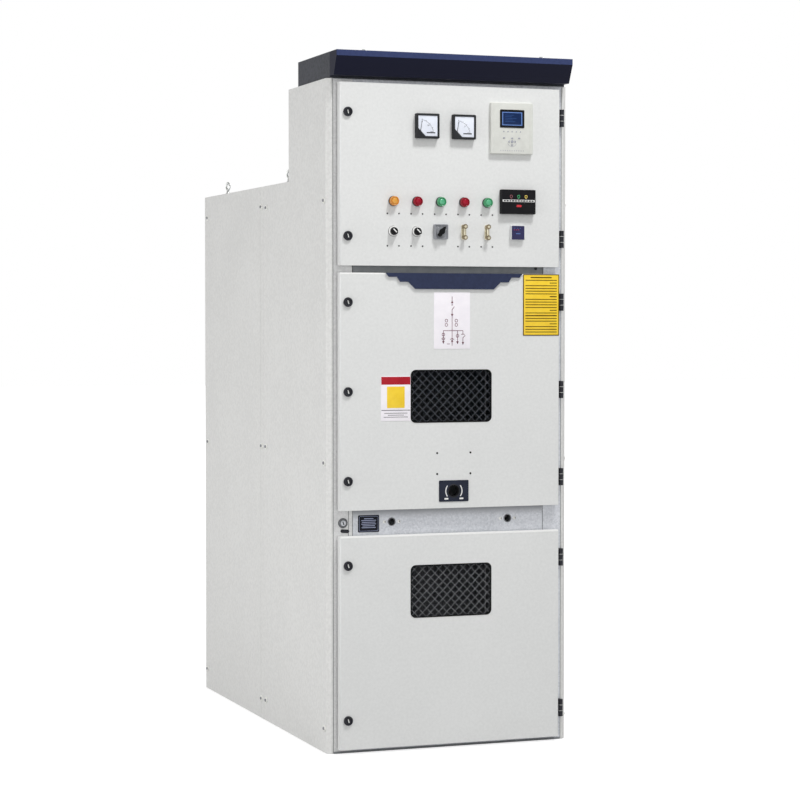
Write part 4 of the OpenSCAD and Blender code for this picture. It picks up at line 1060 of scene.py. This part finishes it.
# where the pale line stops, starts again behind the crest, and ends
edge_stops = {"breaker": [-213, 211, 238], "cable": [node_box("cable_door")[1][0] - 2]}
for door, stops in edge_stops.items():
    lo, hi = node_box(door + "_door")
    ends = [lo[0] + 2] + stops
    strips = []
    for out, face, tall in ((face_y, FRONT, 4.4), (face_y + 9, TOP, 16)):
        z = hi[2] - 2.6 if face is FRONT else hi[2]
        strips += [stand(slab(b - a, tall, 0.12, 0.4, 0.04), ((a + b) / 2, out, z), face)
                   for a, b in zip(ends[::2], ends[1::2])]
    piece(door + "_door_painted_highlight", strips, highlight_coat, door + "_door")
band_zinc_painted_shadow = zinc("galvanized_band_painted_shadow", "#dadce1", "#bfc2c8", 0.46, 5.0, 0.35)
tree = band_zinc_painted_shadow.node_tree
open_zinc_tone = shader(band_zinc_painted_shadow).inputs["Base Color"].links[0].from_socket
height = add(tree, "SeparateXYZ", {0: add(tree, "TexCoord", {})["Object"]})["Z"]
door_foot = node_box("breaker_door")[0][2]
shadow_share = spread(tree, height, (door_foot - 30) * mm, (door_foot - 6) * mm)
# painted shadow: the top of the band, under the breaker door, goes to a darker grey
join(shader(band_zinc_painted_shadow), {"Base Color": blend(tree, shadow_share, open_zinc_tone, "#97999d")})
dress("band_rail", band_zinc_painted_shadow)
# painted shadow: a grey strip along the foot of the frame, where it meets the floor
floor_painted_shadow = slab(2 * post_hi[0] - 4, 7, 0.15, 0.4, 0.05)
piece("floor_painted_shadow", [stand(floor_painted_shadow, on_frame(0, 3.6))], gap_shadow_grey, "housing")

# %% [markdown]
# Each hinge has three knuckles on one pin. Bright washers between them carry the door's weight and
# show as light lines across the black hinge. A washer is one turned ring, above and below the
# middle knuckle.

# %% Hinge washers
knuckle_r, washer_step = 8.5, 9.25
washer = turned([(4.6, -0.55), (8.3, -0.55), (8.5, 0), (8.3, 0.55), (4.6, 0.55)], 28, loop=True)
for door in doors:
    lo, hi = node_box(door + "_hinges")
    pin = np.array([hi[0] - 8, (lo[1] + hi[1]) / 2, 0])
    spots = [pin + (z + s * washer_step) * Z for z in in_line(door, "_hinges", knuckle_r)[1] for s in (-1, 1)]
    piece(door + "_hinge_washers", copies(washer, spots, TOP), bright_zinc, "housing")

# %% [markdown]
# The end panels are held by screws along their edges, each in a white nylon cup that keeps the paint
# whole. The rear covers and the relief plates on the roof have plain pan heads, and two bolts hold
# the brow. All are turned from a few rings, light enough to repeat.

# %% Panel screws
side_x = node_box("right_side_front")[1][0]
side_rows = [(658, 1702), (-10, 1710), (-68, 1705), (-675, 1699), (660, 897), (-10, 915), (-60, 915),
             (-675, 895), (675, 73), (-4, 68), (-56, 69), (-675, 77)]
cup = turned([(9.4, 0), (10, 0.8), (9.6, 2.8), (8.2, 3.6), (5.2, 2.8), (1, 2.6)], 28)
cap_head = turned([(4.8, 2.2), (4.8, 5.2), (3.8, 6.4), (1, 6.8)], 20)
for name, shape, finish in (("side_cups", cup, nylon), ("side_screws", cap_head, grey_abs)):
    both_sides = [stand(shape, (s * side_x, y, z), face) for s, face in ((1, RIGHT), (-1, LEFT))
                  for y, z in side_rows]
    piece(name, both_sides, finish, "housing")
rear_y, rear_edge = node_box("rear_covers")[1][1], 385
rear = [(x, rear_y, z) for z in (75, 880, 920, 1760) for x in np.linspace(-rear_edge, rear_edge, 5)]
rear += [(s * rear_edge, rear_y, z) for s in (-1, 1) for z in (276, 478, 680, 1130, 1340, 1550)]
piece("rear_screws", copies(pan_head, rear, BACK), bright_zinc, "housing")
relief_lo, relief_hi = node_box("relief_plates")
plate_pitch = 316
relief_rows = [relief_lo[1] + first + k * plate_pitch for k in range(3) for first in (15, 265)]
roof = [(x, y, relief_hi[2]) for y in relief_rows for x in np.linspace(-280, 280, 5)]
piece("relief_screws", copies(pan_head, roof, TOP), nylon, "housing")
hex_head = carried(*circle(6.5, 6), [(0, 0), (0, 4.6), (-0.8, 5.4)])
flat_washer = turned([(8.5, 0), (8.5, 0.9), (8, 1.3), (2, 1.4)], 28)
bolts_at = [(s * 293, -740, node_box("header_brow")[1][2]) for s in (-1, 1)]
bolts = [stand(shape, at, TOP) for at in bolts_at for shape in (flat_washer, hex_head)]
piece("header_bolts", bolts, bright_zinc, "housing")

# %% [markdown]
# Four forged eye bolts on the rear roof take the lifting slings. The ring is a torus that thickens
# towards its root, on a neck that runs out into a round collar. The bolts are screwed down until
# they are tight, so the rings stop nearly front to back but not quite.


# %% Lifting eyes
def eye_ring(r, bar, steps=48, sides=16):
    """A torus standing in the YZ plane: its bar thickens towards the root by a raised cosine."""
    u = np.linspace(0, 2 * np.pi, steps, endpoint=False)
    v = np.linspace(0, 2 * np.pi, sides, endpoint=False)
    thick = bar * (1 + 0.12 * (1 - np.sin(u)) / 2)
    reach = r + thick[:, None] * np.cos(v)[None]
    ring = [thick[:, None] * np.sin(v)[None], reach * np.cos(u)[:, None], reach * np.sin(u)[:, None]]
    return skin(np.stack(ring, 2), loop=True)


eyes_lo, eyes_hi = node_box("lifting_eyes")
collar_r, ring_reach, ring_rise, ring_turn = 9, 16, 30, 12
eye_collar = turned([(collar_r, 0), (collar_r, 3.6), (8.2, 5), (6.4, 6.2), (5.2, 9), (5, 15), (4, 18),
                     (1, 19)], 32)
ring = eye_ring(12, 3.3)
eye_shapes = []
for x in (eyes_lo[0] + collar_r, eyes_hi[0] - collar_r):
    for y in (eyes_lo[1] + ring_reach, eyes_hi[1] - ring_reach):
        eye_shapes.append(stand(eye_collar, (x, y, eyes_lo[2]), TOP))
        eye_shapes.append(stand(ring, (x, y, eyes_lo[2] + ring_rise), TOP, ring_turn))
piece("eye_bolts", eye_shapes, bright_zinc, "housing", ["lifting_eyes"])

# %% [markdown]
# With a door open its back shows: the round cases of the meters, the boxes of the relay, the display
# and the controller, the barrels of lamps and switches, the studs of the links and the barrels of
# the locks. Each goes as deep as the solid that the front piece stands for, and its box gives
# the depth.


# %% Behind the doors
def depth(node):
    """How far a solid reaches behind the plane where the backs start, in millimetres."""
    return node_box(node)[1][1] - face_y - sunk


def barrel(r, length):
    """A turned barrel with a ring nut against the door and an eased end."""
    return turned([(r, 0), (r, 3), (r + 4, 3), (r + 4.6, 3.8), (r + 4.6, 7.4), (r + 4, 8), (r, 8),
                   (r, length - 1), (r - 1, length), (1, length)], 36)


# the backs start inside the sheet of the door, so that no gap shows
sunk = 1.0
meter_d = depth("meters")
meter_case = turned([(30, 0), (30, meter_d - 1.5), (28, meter_d), (4, meter_d)], 56)
dark_backs = copies(meter_case, meters, BACK, out=sunk)
display_back = slab(display_w - 19, 57.4, depth("voltage_display"), 2, 0.8)
control_back = slab(36, 36, depth("heater_controller"), 2, 0.8)
dark_backs += copies(display_back, [display_at], BACK, out=sunk)
dark_backs += copies(control_back, [control_at], BACK, out=sunk)
dark_backs += copies(barrel(10.8, depth("red_lamps")), all_lamps + switch_row[:3], BACK, out=sunk)
piece("instrument_backs", dark_backs, black_abs, INSTRUMENTS)
relay_back = slab(129.4, 147.4, depth("relay"), 3, 1.2)
piece("relay_back", copies(relay_back, [relay_at], BACK, out=sunk), grey_abs, INSTRUMENTS)
stud_back = turned([(3.8, 0), (3.8, 3), (7, 3), (7.2, 6.6), (3.8, 7), (3.8, 19), (3, 20), (1, 20)], 24)
piece("test_link_studs", copies(stud_back, studs, BACK, out=sunk), brass, INSTRUMENTS)
for door in doors:
    lock_barrel = copies(barrel(9.8, depth(door + "_locks")), locks[door], BACK, out=sunk)
    piece(door + "_lock_barrels", lock_barrel, bright_zinc, door + "_door")

# %% [markdown]
# The studio is a pale floor that runs out to white. It lies half a millimetre under the cabinet. The
# floor shows itself brighter than the light on it would make it, only to the eye and in gloss, so
# the white of the floor doesn't flood the doors from below.

# %% Floor
side = np.array([-40.0, 40.0])
floor_x, floor_y = np.meshgrid(side, side)
corners = np.stack([floor_x.ravel(), floor_y.ravel(), np.full(4, -0.0005)], 1)
floor_mesh = bpy.data.meshes.new("floor")
floor_mesh.from_pydata(corners.tolist(), [], [(0, 1, 3, 2)])
floor = bpy.data.objects.new("floor", floor_mesh)
bpy.context.scene.collection.objects.link(floor)
# plain matt white that brightens with distance and keeps a soft shadow at the foot
floor_paint, tree, place = start("studio_floor")
path = add(tree, "LightPath", {})
seen = add(tree, "Math", {0: path["Is Camera Ray"], 1: path["Is Glossy Ray"]}, operation="MAXIMUM")[0]
away = add(tree, "VectorMath", {0: place}, operation="LENGTH")["Value"]
glow = add(tree, "Math", {0: seen, 1: spread(tree, away, 1.5, 5.0, (0.72, 1.0))}, operation="MULTIPLY")[0]
join(shader(floor_paint), {"Base Color": "#b0b0b0", "Roughness": 0.9, "Emission Color": (1, 1, 1, 1),
                           "Emission Strength": glow})
floor_mesh.materials.append(floor_paint)
print("floor", np.ptp(side), "metres wide")

# %% [markdown]
# A small soft box high above the front throws short shadows straight down under the lamps. A wide
# one in front and two at the side fill the faces, one at the rear lights the back, and the white
# room does the rest. The plain view transform keeps the tones as they are.


# %% Light
def soft_box(name, at, aim, size, power):
    """A square area light at a point, turned so that its face looks at another point."""
    light = bpy.data.lights.new(name, "AREA")
    light.size = size
    light.energy = power
    lamp = bpy.data.objects.new(name, light)
    lamp.location = at
    way = np.array(aim) - np.array(at)
    lamp.rotation_euler = (math.acos(-way[2] / np.linalg.norm(way)), 0, math.atan2(way[0], -way[1]) + math.pi)
    bpy.context.scene.collection.objects.link(lamp)


soft_box("key_light", (0.95, -2.95, 5.9), (0.0, -0.7, 1.2), 0.8, 170)
soft_box("front_light", (-0.8, -5.6, 2.4), (0.0, -0.7, 1.0), 3.0, 40)
soft_box("side_light", (-4.4, -1.4, 1.2), (-0.4, -0.1, 0.9), 2.2, 57)
soft_box("side_rear_light", (-3.6, 2.2, 1.9), (-0.4, 0.5, 1.3), 1.6, 18)
soft_box("rear_light", (3.6, 4.4, 3.2), (0.2, 0.4, 1.0), 3.0, 110)
world = bpy.data.worlds.new("studio")
world.use_nodes = True
bpy.context.scene.world = world
tree = world.node_tree
to_eye = add(tree, "LightPath", {})["Is Camera Ray"]
join(tree.nodes["Background"], {"Color": (1, 1, 1, 1), "Strength": spread(tree, to_eye, 0, 1, (0.5, 1.0))})
bpy.context.scene.view_settings.view_transform = "Standard"
print("studio ready")
